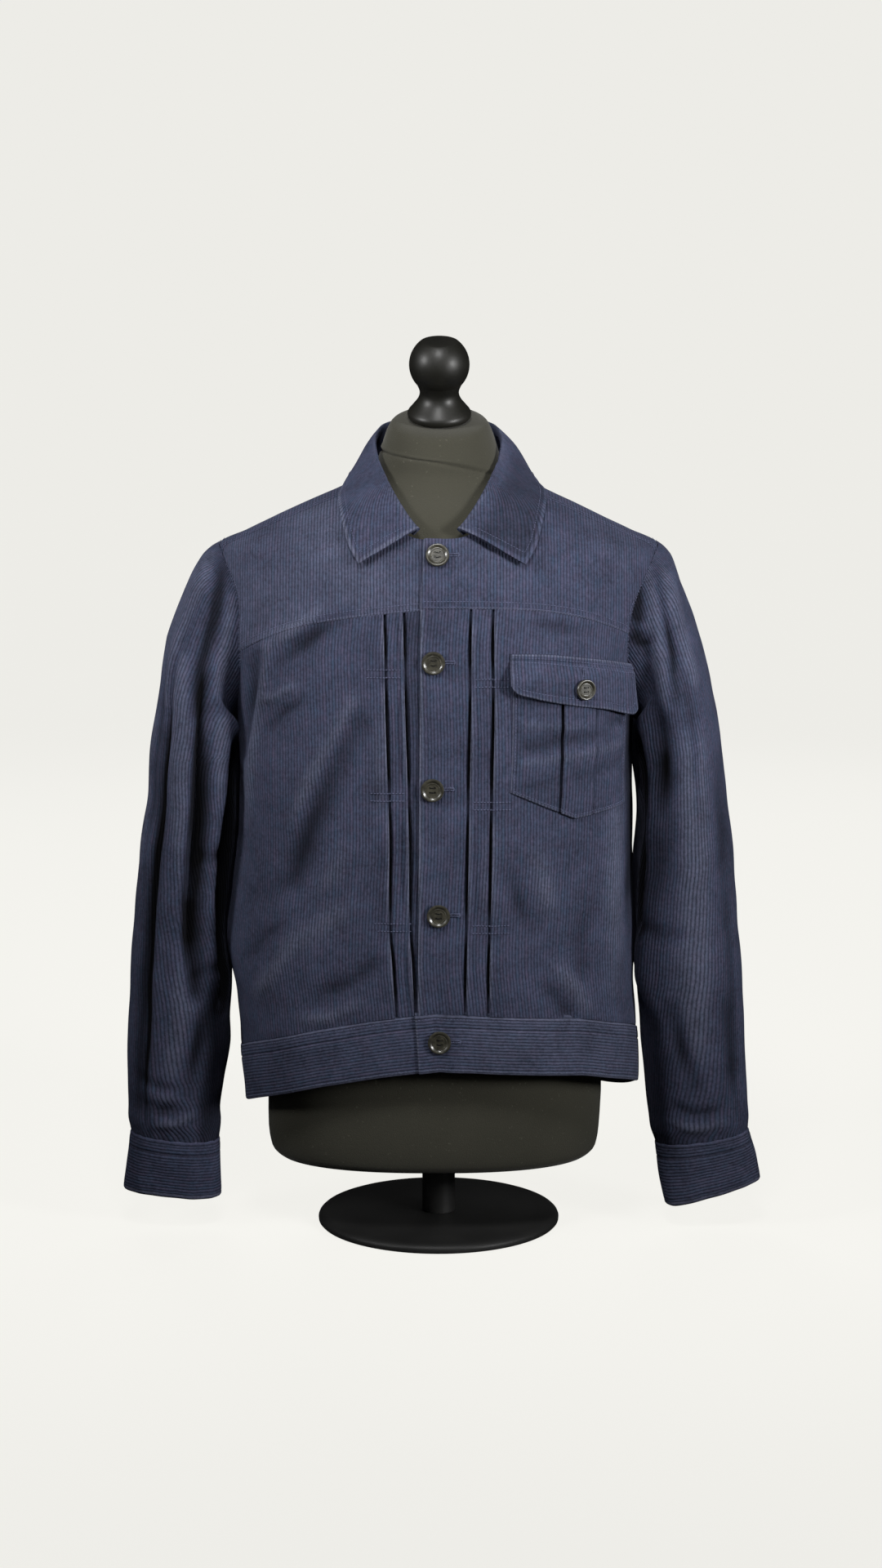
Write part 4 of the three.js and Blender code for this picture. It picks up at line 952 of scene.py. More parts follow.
# Sections from shoulder to cuff: outermost x and z, innermost x and z, y of the middle, half depth.
SLEEVE_ROWS = {
    "left": [
        [232, 697, 200, 528, 0, 77], [246, 662, 202, 520, -1, 81], [264, 612, 204, 508, -3, 84],
        [277, 556, 204, 490, -5, 84], [286, 500, 204, 466, -7, 82], [292, 450, 203, 427, -9, 79],
        [298, 400, 204, 384, -11, 74], [303, 350, 205, 339, -12, 69], [307, 300, 205, 293, -13, 63],
        [311, 250, 206, 245, -14, 57], [314, 205, 209, 198, -15, 52], [316, 160, 214, 152, -16, 47],
        [318, 125, 220, 114, -17, 40], [318, 103, 225, 90, -18, 34]],
    "right": [
        [235, 697, 206, 528, 0, 77], [254, 662, 208, 520, -1, 81], [271, 616, 209, 508, -3, 84],
        [281, 560, 209, 490, -5, 84], [288, 505, 208, 466, -7, 82], [293, 455, 209, 427, -9, 79],
        [301, 405, 213, 388, -11, 74], [307, 358, 218, 344, -12, 69], [311, 308, 220, 297, -13, 63],
        [315, 258, 217, 248, -14, 57], [317, 210, 215, 200, -15, 52], [319, 165, 222, 155, -16, 47],
        [318, 125, 228, 118, -17, 40], [316, 102, 228, 93, -18, 34]],
}
CUFF_END = {"left": [329.5, 52, 238, 25, -22, 25], "right": [322, 42, 229.5, 34, -22, 25]}
# The deep folds, pressed in along the sleeve: angle round it (0 beside the body, 90 in front, 180
# outside) at each end, how wide in degrees, the sections they run between, and how deep.
DEEP_FOLDS = {
    "left": [(40, 36, 15, 1.5, 8, 7), (72, 68, 9, -0.5, 5, 4.5), (112, 102, 9, -0.5, 6, 2.3),
             (250, 262, 22, 2, 9, 5), (140, 135, 12, 6, 12.5, 2.4)],
    "right": [(82, 74, 8, 0.6, 9.2, 14), (38, 34, 17, 2.0, 9.5, 12), (126, 122, 5, 0.2, 12.6, 6.5),
              (146, 144, 7, 0.5, 8, 3), (255, 265, 22, 2, 9, 5)],
}
# Smaller creases: a line of (x, height) each, how wide and how high, on the front and on the back.
SLEEVE_CREASES = {
    ("right", -1): [
        ([(-214, 690), (-222, 640), (-236, 590), (-242, 545)], 7, -3.6),
        ([(-226, 700), (-246, 658), (-262, 613), (-267, 556)], 8, 3.4),
        ([(-205, 660), (-212, 610), (-222, 560)], 6, 2.0),
        ([(-226, 536), (-219, 432), (-212, 306)], 8, 3.0),
        ([(-252, 600), (-256, 520), (-258, 440), (-252, 360)], 8, 2.6),
        ([(-272, 523), (-281, 418), (-290, 345), (-301, 235), (-308, 130)], 6, -3.4),
        ([(-284, 560), (-290, 470), (-298, 380)], 8, 1.8),
        ([(-252, 300), (-262, 230), (-272, 170)], 10, 2.2),
        ([(-236, 262), (-244, 205), (-256, 150)], 8, -2.4),
        ([(-306, 168), (-286, 158), (-268, 156)], 6, -1.2),
        ([(-306, 141), (-284, 132), (-262, 134)], 6, -1.3),
        ([(-300, 154), (-280, 146), (-262, 146)], 6, 1.0),
        ([(-250, 128), (-268, 118), (-290, 116)], 5, 1.8),
        ([(-214, 300), (-232, 280), (-246, 276)], 7, -1.8),
        ([(-212, 420), (-228, 402), (-244, 398)], 7, -1.4),
    ],
    ("left", -1): [
        ([(204, 700), (214, 650), (220, 605), (223, 548)], 7, 3.2),
        ([(212, 704), (226, 672), (241, 618), (254, 575)], 7, 2.6),
        ([(198, 700), (197, 660), (196, 628), (206, 606)], 6, -3.6),
        ([(216, 690), (222, 650), (231, 606), (236, 560)], 6, -2.4),
        ([(186, 640), (198, 632), (210, 634)], 4, 1.8),
        ([(188, 622), (200, 616), (214, 618)], 4, -2.0),
        ([(205, 540), (208, 470), (208, 400)], 8, -3.0),
        ([(252, 520), (256, 420), (258, 300), (262, 190)], 13, 2.2),
        ([(280, 500), (286, 420), (292, 330)], 9, -1.6),
        ([(228, 500), (230, 420), (226, 330)], 8, -1.8),
        ([(236, 240), (246, 196), (262, 156)], 8, -2.0),
        ([(290, 250), (296, 200), (300, 150)], 7, -1.8),
        ([(240, 136), (262, 128), (288, 132)], 5, -1.6),
        ([(236, 120), (262, 112), (290, 118)], 5, 1.5),
        ([(212, 330), (232, 318), (252, 320)], 8, -1.4),
    ],
    ("right", 1): [
        ([(-212, 680), (-232, 620), (-244, 556)], 8, 2.8),
        ([(-224, 640), (-246, 590), (-258, 520)], 7, -2.8),
        ([(-224, 480), (-250, 452), (-286, 448)], 10, -1.7),
        ([(-222, 444), (-252, 420), (-290, 420)], 9, 1.5),
        ([(-226, 408), (-254, 388), (-294, 392)], 9, -1.3),
        ([(-236, 330), (-244, 250), (-250, 180)], 10, 2.0),
        ([(-284, 330), (-290, 250), (-296, 170)], 9, -2.0),
        ([(-240, 140), (-268, 130), (-296, 136)], 6, -2.2),
    ],
    ("left", 1): [
        ([(210, 680), (230, 620), (242, 556)], 8, 2.8),
        ([(222, 640), (244, 590), (256, 520)], 7, -2.8),
        ([(222, 476), (248, 446), (284, 442)], 10, -1.7),
        ([(220, 440), (250, 414), (288, 412)], 9, 1.5),
        ([(222, 400), (250, 380), (290, 384)], 9, -1.3),
        ([(232, 330), (240, 250), (246, 180)], 10, 2.0),
        ([(280, 330), (288, 250), (294, 170)], 9, -2.0),
        ([(238, 144), (266, 134), (294, 140)], 6, -2.2),
    ],
}


def sleeve_section(side_name, row, degrees):
    """Points of one of a sleeve's slanting sections, at angles round it."""
    out_x, out_z, in_x, in_z, mid_y, depth = row
    turn = np.radians(degrees)
    inward = np.sign(np.cos(turn)) * np.abs(np.cos(turn)) ** (2 / 2.2)
    forward = np.sign(np.sin(turn)) * np.abs(np.sin(turn)) ** (2 / 2.2)
    x = (out_x + in_x) / 2 - inward * (out_x - in_x) / 2
    z = (out_z + in_z) / 2 - inward * (out_z - in_z) / 2
    return np.stack([SIDES[side_name] * x, mid_y - forward * depth, z], -1)


def sleeve_ribs(side_name, p):
    """Ribs run straight down a sleeve: each point's distance round it from its outermost line."""
    rows = np.array(SLEEVE_ROWS[side_name] + [CUFF_END[side_name]], float)[::-1]
    z = p[..., 2]
    outermost = np.interp(z, rows[:, 1], rows[:, 0])
    innermost = np.interp(z, rows[:, 3], rows[:, 2])
    half = np.where(z > 500, 41.0, (outermost - innermost) / 2)
    middle = (rows[:, 1] + rows[:, 3]) / 2
    deep = np.interp(z, middle, rows[:, 5])
    ahead = np.abs(p[..., 1] - np.interp(z, middle, rows[:, 4])) / deep
    turn = np.arctan2(ahead, (SIDES[side_name] * p[..., 0] - outermost + half) / half)
    fine = np.linspace(0, np.pi, 200)
    step = np.sqrt(np.sin(fine) ** 2 + 4 * np.cos(fine) ** 2)
    share = np.concatenate([[0], np.cumsum((step[1:] + step[:-1]) / 2)])
    share = share / share[-1]
    return np.interp(turn, fine, share) * np.pi * np.sqrt((half ** 2 + deep ** 2) / 2)


def ring_normals(grid):
    """Outward directions of a grid whose last column meets its first, and each ring's centre."""
    ring = grid[:, :-1]
    centre = ring.mean(axis=1, keepdims=True)
    step_round = np.roll(ring, -1, axis=1) - np.roll(ring, 1, axis=1)
    normal = unit(np.cross(step_round, np.gradient(ring, axis=0)))
    normal = np.concatenate([normal, normal[:, :1]], axis=1)
    return normal * np.sign(((grid - centre) * normal).sum(-1).mean()), centre


def armhole_loop(side_name, count):
    """The whole armhole, with each point's place round it in degrees."""
    stretches = [armhole(side_name, a, b, np.linspace(0, 1, 60)[:-1]) for a, b in STRETCHES]
    loop = np.concatenate([*stretches, stretches[0][:1]])
    walked = lengths(loop)
    places = np.linspace(0, walked[-1], count)
    return at_distances(loop, places), 360 * places / walked[-1]


def press_folds(side_name, r, angles):
    """How deep the folds press a sleeve in, at each place down it and round it, and how much painted shade
    they get.
    """
    inward = np.zeros((len(r), len(angles)))
    dark = np.zeros_like(inward)
    for a, b, wide, first, last, deep in DEEP_FOLDS[side_name]:
        along = (r - 1 - first) / (last - first)
        inside = (along > 0) & (along < 1)
        wander = 1.4 * np.sin(r * 1.1 + a)
        away = (angles[None] - (a + (b - a) * along) - wander) / wide
        fold = np.where(inside, deep * np.sin(np.pi * np.clip(along, 0, 1)) ** 0.6 * np.exp(-away ** 2), 0)
        inward += fold
        dark = np.maximum(dark, fold if a < 180 else 0.3 * fold)      # behind, they lie open to the light
    return inward, dark


sleeve_ends = {}
for side_name, side in SIDES.items():
    hole, angles = armhole_loop(side_name, 141)
    keys = [hole] + [sleeve_section(side_name, row, angles) for row in SLEEVE_ROWS[side_name]]
    between = smooth_table([[i, *key.ravel()] for i, key in enumerate(keys)])
    # r is a row's place among the sections: 0 at the armhole, 14 at the cuff.
    r = np.concatenate([[0, 0.03, 0.07, 0.13], np.linspace(0.2, 13.8, 158), [13.88, 13.95, 14.0]])
    smooth_grid = np.moveaxis(between(r), 0, -1).reshape(len(r), len(angles), 3)
    normal, centre = ring_normals(smooth_grid)
    r = r[:, None]
    inward, pressed = press_folds(side_name, r, angles)
    creases = np.zeros(smooth_grid.shape[:2])
    for facing in (-1, 1):
        share = smooth((facing * (smooth_grid[..., 1] - centre[..., 1]) - 6) / 26)
        creases += crease_height(smooth_grid, SLEEVE_CREASES[side_name, facing]) * share
    height = creases - inward + slack(smooth_grid + [0, 90.0, 0]) * 1.1

    # The armhole's seam and the cuff hold the cloth. It puffs up over the shoulder beyond its seam, is
    # gathered in small even folds into its cuff, and swells out just above them.
    turn = np.radians(angles)
    cap = 0.5 * np.exp(-((r - 0.35) / 0.4) ** 2) * smooth((0.3 - np.cos(turn)) / 0.8)
    height = height * smooth(r / 1.1) * smooth((14.3 - r) / 1.2) + cap
    gather = 0.3 * np.sin(turn * 17 + 1.1 * np.sin(turn * 3))
    height += gather * np.exp(-((14 - r) / 0.8) ** 2)
    height -= 0.2 * (1 - smooth(r / 0.07)) + 0.4 * (1 - smooth((14 - r) / 0.09))
    height += 1.8 * np.exp(-((13.3 - r) / 0.45) ** 2)
    points = smooth_grid + normal * height[..., None]

    # Where it hangs beside the body, a sleeve rests against it.
    beside = np.cos(turn)[None]
    slope = gradient(body, points)
    size = np.linalg.norm(slope, axis=-1)
    apart = field(body, points) / size - np.maximum(drape(points), 2.2)
    rests = smooth((beside - 0.1) / 0.6) * smooth((r - 1.6) / 1.2)
    rests = rests * smooth((points[..., 2] - 215) / 60) * (1 - smooth((pressed - 1) / 6))
    elbow_gap = 10.0 if side_name == "left" else 0.0
    gap_at = 1.7 + elbow_gap * np.exp(-((points[..., 2] - 436) / 52) ** 2)
    shift = np.clip(apart - gap_at, 0, 18) * rests
    points = points - slope / size[..., None] * shift[..., None]

    # Painted shade: dark in the deep folds, darkest on the side that faces the body, the left sleeve a little
    # darker near its top and the right one all over; the creases get painted highlight and shade.
    fold_shade = np.clip((pressed - 1) / (9.5 - 6 * smooth((r - 2.5) / 2)), 0, 0.96)
    wear_and_shade = nap_wear_and_shade(creases * 1.5) - fold_shade
    wear_and_shade -= 0.14 * (1 - smooth((r - 2) / 3)) if side_name == "left" else 0.1
    body_shade = smooth((beside - (0.50 if side_name == "left" else 0.45)) / 0.24)
    wear_and_shade = wear_and_shade - 0.9 * body_shade * smooth((r - 1.8) / 2.0) * (1 - 0.35 * smooth((r - 6) / 4))

    # The cloth taken up in the folds moves the ribs on.
    widths, flat_widths = (np.linalg.norm(np.diff(grid, axis=1), axis=-1) for grid in (points, smooth_grid))
    taken = np.cumsum(np.maximum(widths - flat_widths, 0), axis=1)
    taken = np.concatenate([np.zeros((len(r), 1)), taken], axis=1)
    taken -= taken[:, [nearest(angles, 180)]]
    across = sleeve_ribs(side_name, smooth_grid) * np.sign(180.001 - angles) - taken
    cloth_piece(f"sleeve_{side_name}", points, across, wear_and_shade, (0.46, 0.60),
                tube=True, flip=side < 0)
    sleeve_ends[side_name] = (smooth_grid[-1], angles)

# ---- Cuffs ---------------------------------------------------------------------------------------
# Each cuff is a straight band of two layers, its ribs running round the wrist, that takes in the
# sleeve's end. It is topstitched at its seam and near its edge, like the waistband.

# How far a cuff stands off its smooth shape, by the distance from its seam, and from its open edge.
CUFF_TOP = [(0.6, -0.8), (0.9, -0.1), (1.6, 0.5), (2.6, 0.8), (3.6, 0.75), (4.6, 0.5), (5.6, 0.8), (7, 0.95),
            (12.8, 0.9), (14.2, 0.2), (16, 0.9)]
CUFF_EDGE = [(6, 1.0), (4.6, 0.85), (3.6, 0.6), (2.6, 0.85), (1.2, 0.75), (0.5, 0.3), (0, -0.8)]

for side_name, side in SIDES.items():
    top, angles = sleeve_ends[side_name]
    foot = sleeve_section(side_name, CUFF_END[side_name], angles)
    deep = np.linalg.norm(foot - top, axis=1).mean()
    downs = np.array([0.6, 0.9, 1.6, 2.6, 3.6, 4.6, 5.6, 7, 9, 11, 12.8, 13.6, 14.2, 14.8, 16,
                      *np.linspace(19, deep - 8, 12),
                      *(deep - up for up in (6, 4.6, 3.6, 2.6, 1.2, 0.5, 0.1, 0))])
    stands = np.interp(downs, *zip(*CUFF_TOP, *((deep - up, height) for up, height in CUFF_EDGE)))
    share = (downs / deep)[:, None]
    grid = top[None] * (1 - share[..., None]) + foot[None] * share[..., None]
    normal, _ = ring_normals(grid)
    turn = np.radians(angles)[None]
    bend = (1.3 * np.sin(2 * turn + 0.8) + 0.8 * np.sin(5 * turn + side) * np.sin(share * 4 + turn)
            + 0.35 * np.sin(11 * turn + 1.7))
    taken_in = 0.9 * (1 - share)
    points = grid + normal * (stands[:, None] - taken_in + bend * smooth(share * 1.6))[..., None]
    steps = np.linalg.norm(np.diff(grid, axis=1), axis=-1)
    around = np.concatenate([np.zeros((len(downs), 1)), np.cumsum(steps, axis=1)], axis=1)
    # Painted light: the left cuff is a little paler all over, as if better lit; both are worn pale near the
    # edge.
    wear_and_shade = np.full(around.shape, 0.1 if side_name == "left" else 0.0)
    wear_and_shade[-6:-1] = 0.4
    cloth_piece(f"cuff_{side_name}", points, np.broadcast_to(downs[:, None], around.shape), wear_and_shade,
                (around[0, -1] * MM, deep * MM), along=around, tube=True, flip=side < 0,
                thick=TWO_LAYERS)
    stitches(f"cuff_{side_name}_stitches", [row_stitches(points, normal, nearest(downs, down))
                                            for down in (4.6, deep - 3.6)])

# ---- Collar --------------------------------------------------------------------------------------
# A one-piece spread collar of two layers, folded over on itself: a stand up from the neckline, a
# rolled fold, and leaves with long points. Its edge is stitched about 7 mm in, 10 mm at the front.

# Half the collar, from its front edge to the middle of the back: x, y and height of its seam, of its
# fold and of its outer edge.
COLLAR_ROWS = [
    [24, -105.5, 726, 21, -112, 732, 81, -119, 698], [34, -101, 731, 30, -98, 742, 92, -102, 715],
    [48, -92, 738, 41, -78, 757, 98, -76, 736], [62, -70, 755, 53, -50, 777, 101, -38, 754],
    [68, -42, 772, 62, -24, 796, 98, -8, 766], [73, -6, 778, 64, 2, 811, 95, 16, 770],
    [67, 32, 780, 57, 34, 822, 75, 56, 772], [40, 58, 781, 34, 55, 827, 44, 83, 769],
    [0, 68, 781, 0, 64, 828, 0, 92, 767],
]
COLLAR_SHIFT = 4             # the leaves lie this far toward the wearer's left
FOLD_RADIUS = 3.4
collar_table = smooth_table([[i, *row] for i, row in enumerate(COLLAR_ROWS)])


def keep_off(p, distance):
    """Moves points out of the body until they stand off it by a distance."""
    for _ in range(3):
        slope = gradient(body, p)
        size = np.linalg.norm(slope, axis=-1)
        missing = np.maximum(distance - field(body, p) / size, 0)
        p = p + slope / size[..., None] * missing[..., None]
    return p


def collar_half(t, side):
    """Half the collar: sections of eight points each, up the stand, over the fold and down the leaf."""
    s = collar_table(t * (len(COLLAR_ROWS) - 1))
    mirror = np.array([side, 1, 1])
    seam = np.stack(s[0:3], -1) * mirror
    fold = np.stack(s[3:6], -1) * mirror
    edge = keep_off(np.stack(s[6:9], -1) * mirror + [COLLAR_SHIFT, 0, 0], 2.6)
    up = unit(fold - seam)
    away = edge - seam
    away = unit(away - (away * up).sum(-1, keepdims=True) * up)
    radius = np.minimum(FOLD_RADIUS, 0.4 * np.linalg.norm(fold - seam, axis=-1))[:, None]
    inside = fold - away * radius
    inside = inside + (seam - inside) * 0.12
    outside = fold + away * radius
    outside = outside + (edge - outside) * 0.06

    def bulge(share, high):
        return keep_off(outside + (edge - outside) * share + away * high, 3)
    return np.stack([seam, seam + (inside - seam) * 0.5, inside, fold - away * radius * 0.1, outside,
                     bulge(0.35, 3), bulge(0.7, 2.5), edge], 1)


half = np.concatenate([[0, 0.003, 0.008, 0.016], np.linspace(0.026, 1, 92)])
sections = np.concatenate([collar_half(half, 1), collar_half(half[:-1], -1)[::-1]])
# Places of those eight points along a section, and of the rows through them.
keys = np.array([0, 1, 2, 2.7, 3.4, 4.4, 5.4, 6.4])
down = np.concatenate([np.linspace(0, 1.8, 9), np.linspace(1.95, 3.5, 16), np.linspace(3.62, 6.2, 30),
                       [6.27, 6.33, 6.37, 6.4]])
between = smooth_table(np.concatenate([keys[:, None], np.moveaxis(sections, 1, 0).reshape(8, -1)], axis=1))
grid = np.moveaxis(between(down), 0, -1).reshape(len(down), len(sections), 3)
normal = unit(np.cross(np.gradient(grid, axis=0), np.gradient(grid, axis=1)))
r = down[:, None]
leaf = smooth((r - 3.4) / 0.8)
place = np.linspace(-1, 1, len(sections))
wave = (1.2 * np.sin(place * 7 + 0.6) * np.sin(r * 1.3) + 0.5 * np.sin(place * 19 + r * 2.1)) * leaf
grid = grid + normal * wave[..., None]
# The ribs run straight up and down on the leaves and fan out a little round the neck.
angle = np.degrees(np.arctan2(grid[..., 0] - COLLAR_SHIFT / 2, -grid[..., 1] + 4))
blend = smooth((np.abs(angle) - 28) / 36)
across = (1 - blend) * grid[..., 0] + blend * 1.92 * angle
# Worn pale along the edges and the fold; the wearer's right leaf lies in shade.
wear_and_shade = np.zeros(grid.shape[:2])
wear_and_shade[-5:-1] = 0.5
wear_and_shade[:, 1:4] = 0.4
wear_and_shade[:, -4:-1] = 0.4
wear_and_shade += 0.22 * np.exp(-((r - 2.8) / 0.35) ** 2)
wear_and_shade -= 0.42 * leaf * smooth((-place - 0.15) / 0.5)
cloth_piece("collar", grid, across, wear_and_shade, (0.50, 0.115),
            thick=2.3, offset=0.0)


def collar_inset(reach):
    """A line on the leaves, a distance in from their outer edge and a quarter more from their ends."""
    rows = np.flatnonzero(down > 3.55)
    walked = np.linalg.norm(np.diff(grid[rows], axis=0), axis=-1)
    from_edge = np.concatenate([np.cumsum(walked[::-1], axis=0)[::-1], np.zeros((1, grid.shape[1]))])
    walked = lengths(grid[-1])
    first, last = nearest(walked, reach * 1.25), nearest(walked[-1] - walked, reach * 1.25)

    def end_cells(column):
        return [(row, column) for row in rows[:-6] if from_edge[row - rows[0], column] > reach]
    line = [grid[cell] for cell in end_cells(first)]
    up = [normal[cell] for cell in end_cells(first)]
    for column in range(first, last + 1):
        gaps = from_edge[:, column]
        i = min(max(nearest(gaps, reach), 1), len(gaps) - 2)
        i = i if gaps[i] > reach else i - 1
        share = (gaps[i] - reach) / max(gaps[i] - gaps[i + 1], 1e-6)
        line.append(grid[rows[i], column] * (1 - share) + grid[rows[i] + 1, column] * share)
        up.append(normal[rows[i], column])
    line += [grid[cell] for cell in end_cells(last)[::-1]]
    up += [normal[cell] for cell in end_cells(last)[::-1]]
    return np.array(line) + np.array(up) * 1.25, np.array(up)


stitches("collar_stitches", [collar_inset(7.5)])

# ---- Chest pocket --------------------------------------------------------------------------------
# A patch pocket on the left chest with a pointed foot and a box pleat, which stands out from the
# front a little by its own fulness. It is sewn on near its edges with one row.

POCKET = {"start": 77, "width": 132, "lean": -4, "top": 586,
          "corner": 474.5, "point": 446, "far_corner": 454.5, "inset": 4.2}
# Soft creases slanting across it: height, slope, how wide and how high.
POCKET_CREASES = [(505, 0.12, 6, 1.2), (521, 0.18, 7, -1.4), (541, -0.10, 6, 1.0), (480, 0.20, 7, -0.9)]


def round_front(distance, z):
    """Points of the body a length of cloth round the front from its middle, toward the wearer's left."""
    distance, z = np.broadcast_arrays(np.asarray(distance, float), np.asarray(z, float))
    line = at_angle(body, np.linspace(-90, 10, 101), z[..., None])
    found = np.empty((*z.shape, 3))
    for place in np.ndindex(z.shape):
        found[place] = at_distances(line[place], distance[place])
    return found


def rim_wear_and_shade(rim):
    """Pale along the rim, partly rubbed pile and partly painted highlight, with a painted shadow line where
    its edge turns in.
    """
    return 0.6 * (1 - smooth((rim - 0.9) / 2.2)) - 1.4 * (1 - smooth(rim / 0.8))


def sewn_line(points, normal, cells, lift=0.0):
    """Sewing through cells of a grid, lifted off it."""
    at, out = (np.array([grid[cell] for cell in cells]) for grid in (points, normal))
    return at + out * lift, out


# The box pleat's two folds, as shares of the pocket's width, and a fold across: share of the width
# beyond it, and height. Then how worn the pile is across the fold, and below nothing, how much painted shade
# it gets in the pleat's gap.
pleat_near = 0.385
pleat_far = 0.64
near_fold = [(-0.026, 0), (-0.021, -0.5), (-0.017, -1.8), (-0.006, -2.6), (0.010, -2.4), (0.016, -1.0),
             (0.005, 0.2), (-0.001, 1.1), (0.001, 1.7), (0.008, 2.0)]
near_wear_and_shade = [0, -0.7, -1, -1, -1, -1, -0.6, 0.2, 0.3, 0.1]
marks = [(x, 0) for x in (0, 0.003, 0.008, 0.016, *np.linspace(0.03, pleat_near - 0.03, 18))]
plain = len(marks)           # as many columns lie flat before the pleat as after it
marks += [(pleat_near + x, h) for x, h in near_fold]
marks += [(x, 2.0) for x in np.linspace(pleat_near + 0.03, pleat_far - 0.03, 12)]
marks += [(pleat_far - x, h) for x, h in near_fold[::-1]]
marks += [(x, 0) for x in (*np.linspace(pleat_far + 0.03, 0.97, 18), 0.984, 0.992, 0.997, 1)]
shares, rises = np.array(marks).T
pocket_fold_wear_and_shade = np.zeros(len(marks))
pocket_fold_wear_and_shade[plain:plain + len(near_fold)] = near_wear_and_shade
pocket_fold_wear_and_shade[-plain - len(near_fold):-plain] = near_wear_and_shade[::-1]
downs = np.concatenate([[0, 0.006, 0.014, 0.03], np.linspace(0.05, 0.95, 56), [0.97, 0.985, 0.994, 1]])
foot = np.interp(shares, [0, 0.5, 1], [POCKET["corner"], POCKET["point"], POCKET["far_corner"]])
down = downs[:, None]
z = POCKET["top"] + down * (foot - POCKET["top"])
around = POCKET["start"] + POCKET["lean"] * down + shares * POCKET["width"]
base = round_front(around, z)
normal = outward(base)
rim = np.minimum(np.minimum(shares, 1 - shares) * POCKET["width"], (1 - down) * (POCKET["top"] - foot))
puff = 2.6 * np.sin(np.pi * shares) * np.sin(np.pi * np.minimum(down, 0.97)) ** 0.8
seam = 1.2 * smooth(rim / 1.4) - 0.7 * np.exp(-((rim - POCKET["inset"]) / 1.3) ** 2)
pleat = rises * (0.55 + 0.45 * np.sin(np.pi * down))
creases = sum(high * np.exp(-((z - level - slope * (around - 100)) / wide) ** 2)
              for level, slope, wide, high in POCKET_CREASES) * smooth(rim / 14)
uneven = 0.35 * np.sin(around / 9 + z / 21) * np.sin(z / 17) * smooth(rim / 12)
height = np.maximum(1.2 + puff + seam + pleat, 0.5) + drape(base) + uneven + creases
points = base + normal * height[..., None]
taken = np.cumsum([0, *np.hypot(np.diff(shares) * POCKET["width"], np.diff(rises))])
across = np.broadcast_to(taken, z.shape) + 1.1
wear_and_shade = rim_wear_and_shade(rim) + nap_wear_and_shade(creases * 1.8) - 0.08
fold_shade_share = np.where(shares < 0.5, 1.05 - 0.5 * down, 0.9 - 2.2 * down)
wear_and_shade = np.where(pocket_fold_wear_and_shade < 0, pocket_fold_wear_and_shade * np.clip(fold_shade_share, 0, 1), wear_and_shade + np.maximum(pocket_fold_wear_and_shade, 0))
cloth_piece("chest_pocket", points[::-1], across, wear_and_shade[::-1], (0.138, 0.135))
near = nearest(shares * POCKET["width"], POCKET["inset"])
far = len(shares) - 1 - nearest((1 - shares[::-1]) * POCKET["width"], POCKET["inset"])
low = [nearest((1 - downs) * (POCKET["top"] - f), POCKET["inset"]) for f in foot]
cells = [(row, near) for row in range(10, low[near])]
cells += [(low[column], column) for column in range(near, far + 1)]
cells += [(row, far) for row in range(low[far], 9, -1)]
stitches("chest_pocket_stitches", [sewn_line(points, normal, cells)])

# ---- Pocket flap ---------------------------------------------------------------------------------
# A flap of two layers over the pocket's mouth, sewn down along its top strip. Its corners are
# rounded, it is stitched 7 mm in from its edge, and its far end has curled away from the chest.

FLAP = {"start": 75, "width": 136, "top": 613, "foot": 562, "corner": 11, "height": 50, "inset": 7.2}
shares = np.concatenate([[0, 0.003, 0.008, 0.016], np.linspace(0.028, 0.972, 54), [0.984, 0.992, 0.997, 1]])
downs = np.concatenate([[0, 0.01, 0.025, 0.045, 0.07], np.linspace(0.1, 0.97, 38), [0.98, 0.988, 0.995, 1]])
into = np.maximum(FLAP["corner"] - np.minimum(shares, 1 - shares) * FLAP["width"], 0)
rounding = FLAP["corner"] - np.sqrt(np.maximum(FLAP["corner"] ** 2 - into ** 2, 0))
lean = smooth_table([[0, -1.2, 11], [0.05, -1.2, 10], [0.25, -2, 3], [0.45, -5, -2.5], [0.7, -10, -8.5],
                     [0.9, -15, -16], [1, -18, -19]])(shares)      # it droops to its far end
foot = FLAP["foot"] + rounding + lean[1]
top = FLAP["top"] + lean[0]
down = downs[:, None]
deep = top - foot
z = top + down * (foot - top)
around = FLAP["start"] + shares * FLAP["width"] + 1.5 * down * (shares - 0.5)
base = round_front(around, z)
normal = outward(base)
rim = np.minimum(np.minimum(shares, 1 - shares) * FLAP["width"], np.minimum(down, 1 - down) * deep)
over_mouth = 6.3 * smooth((FLAP["top"] - z - 10) / 18)
curl = 5.0 * smooth((shares - 0.78) / 0.22) * down ** 1.4
near_lift = 2.6 * smooth((0.16 - shares) / 0.16) * down ** 2
sag = np.sin(shares * 9.0 + 0.4) * down
strip = np.exp(-((down * deep - FLAP["inset"]) / 1.1) ** 2)
edge_stitch = 0.5 * np.exp(-((rim - FLAP["inset"]) / 1.2) ** 2) * (down > 0.2)
rounded = 0.9 * (1 - smooth(rim / 1.3))
height = 3.1 + over_mouth + curl + near_lift + sag - strip - edge_stitch - rounded + 0.6 * drape(base)
points = base + normal * height[..., None]
across = np.broadcast_to(shares * FLAP["width"], z.shape) + 2.0
cloth_piece("pocket_flap", points[::-1], across, rim_wear_and_shade(rim)[::-1], (0.136, 0.053),
            thick=TWO_LAYERS)
near = nearest(shares * FLAP["width"], FLAP["inset"])
far = len(shares) - 1 - near
low = nearest((1 - downs) * FLAP["height"], FLAP["inset"])
cells = [(row, near) for row in range(8, low - 2)] + [(low - 1, near + 1)]
cells += [(low, column) for column in range(near + 2, far - 1)] + [(low - 1, far - 1)]
cells += [(row, far) for row in range(low - 2, 7, -1)]
rows = [sewn_line(points, normal, cells, 0.1)]
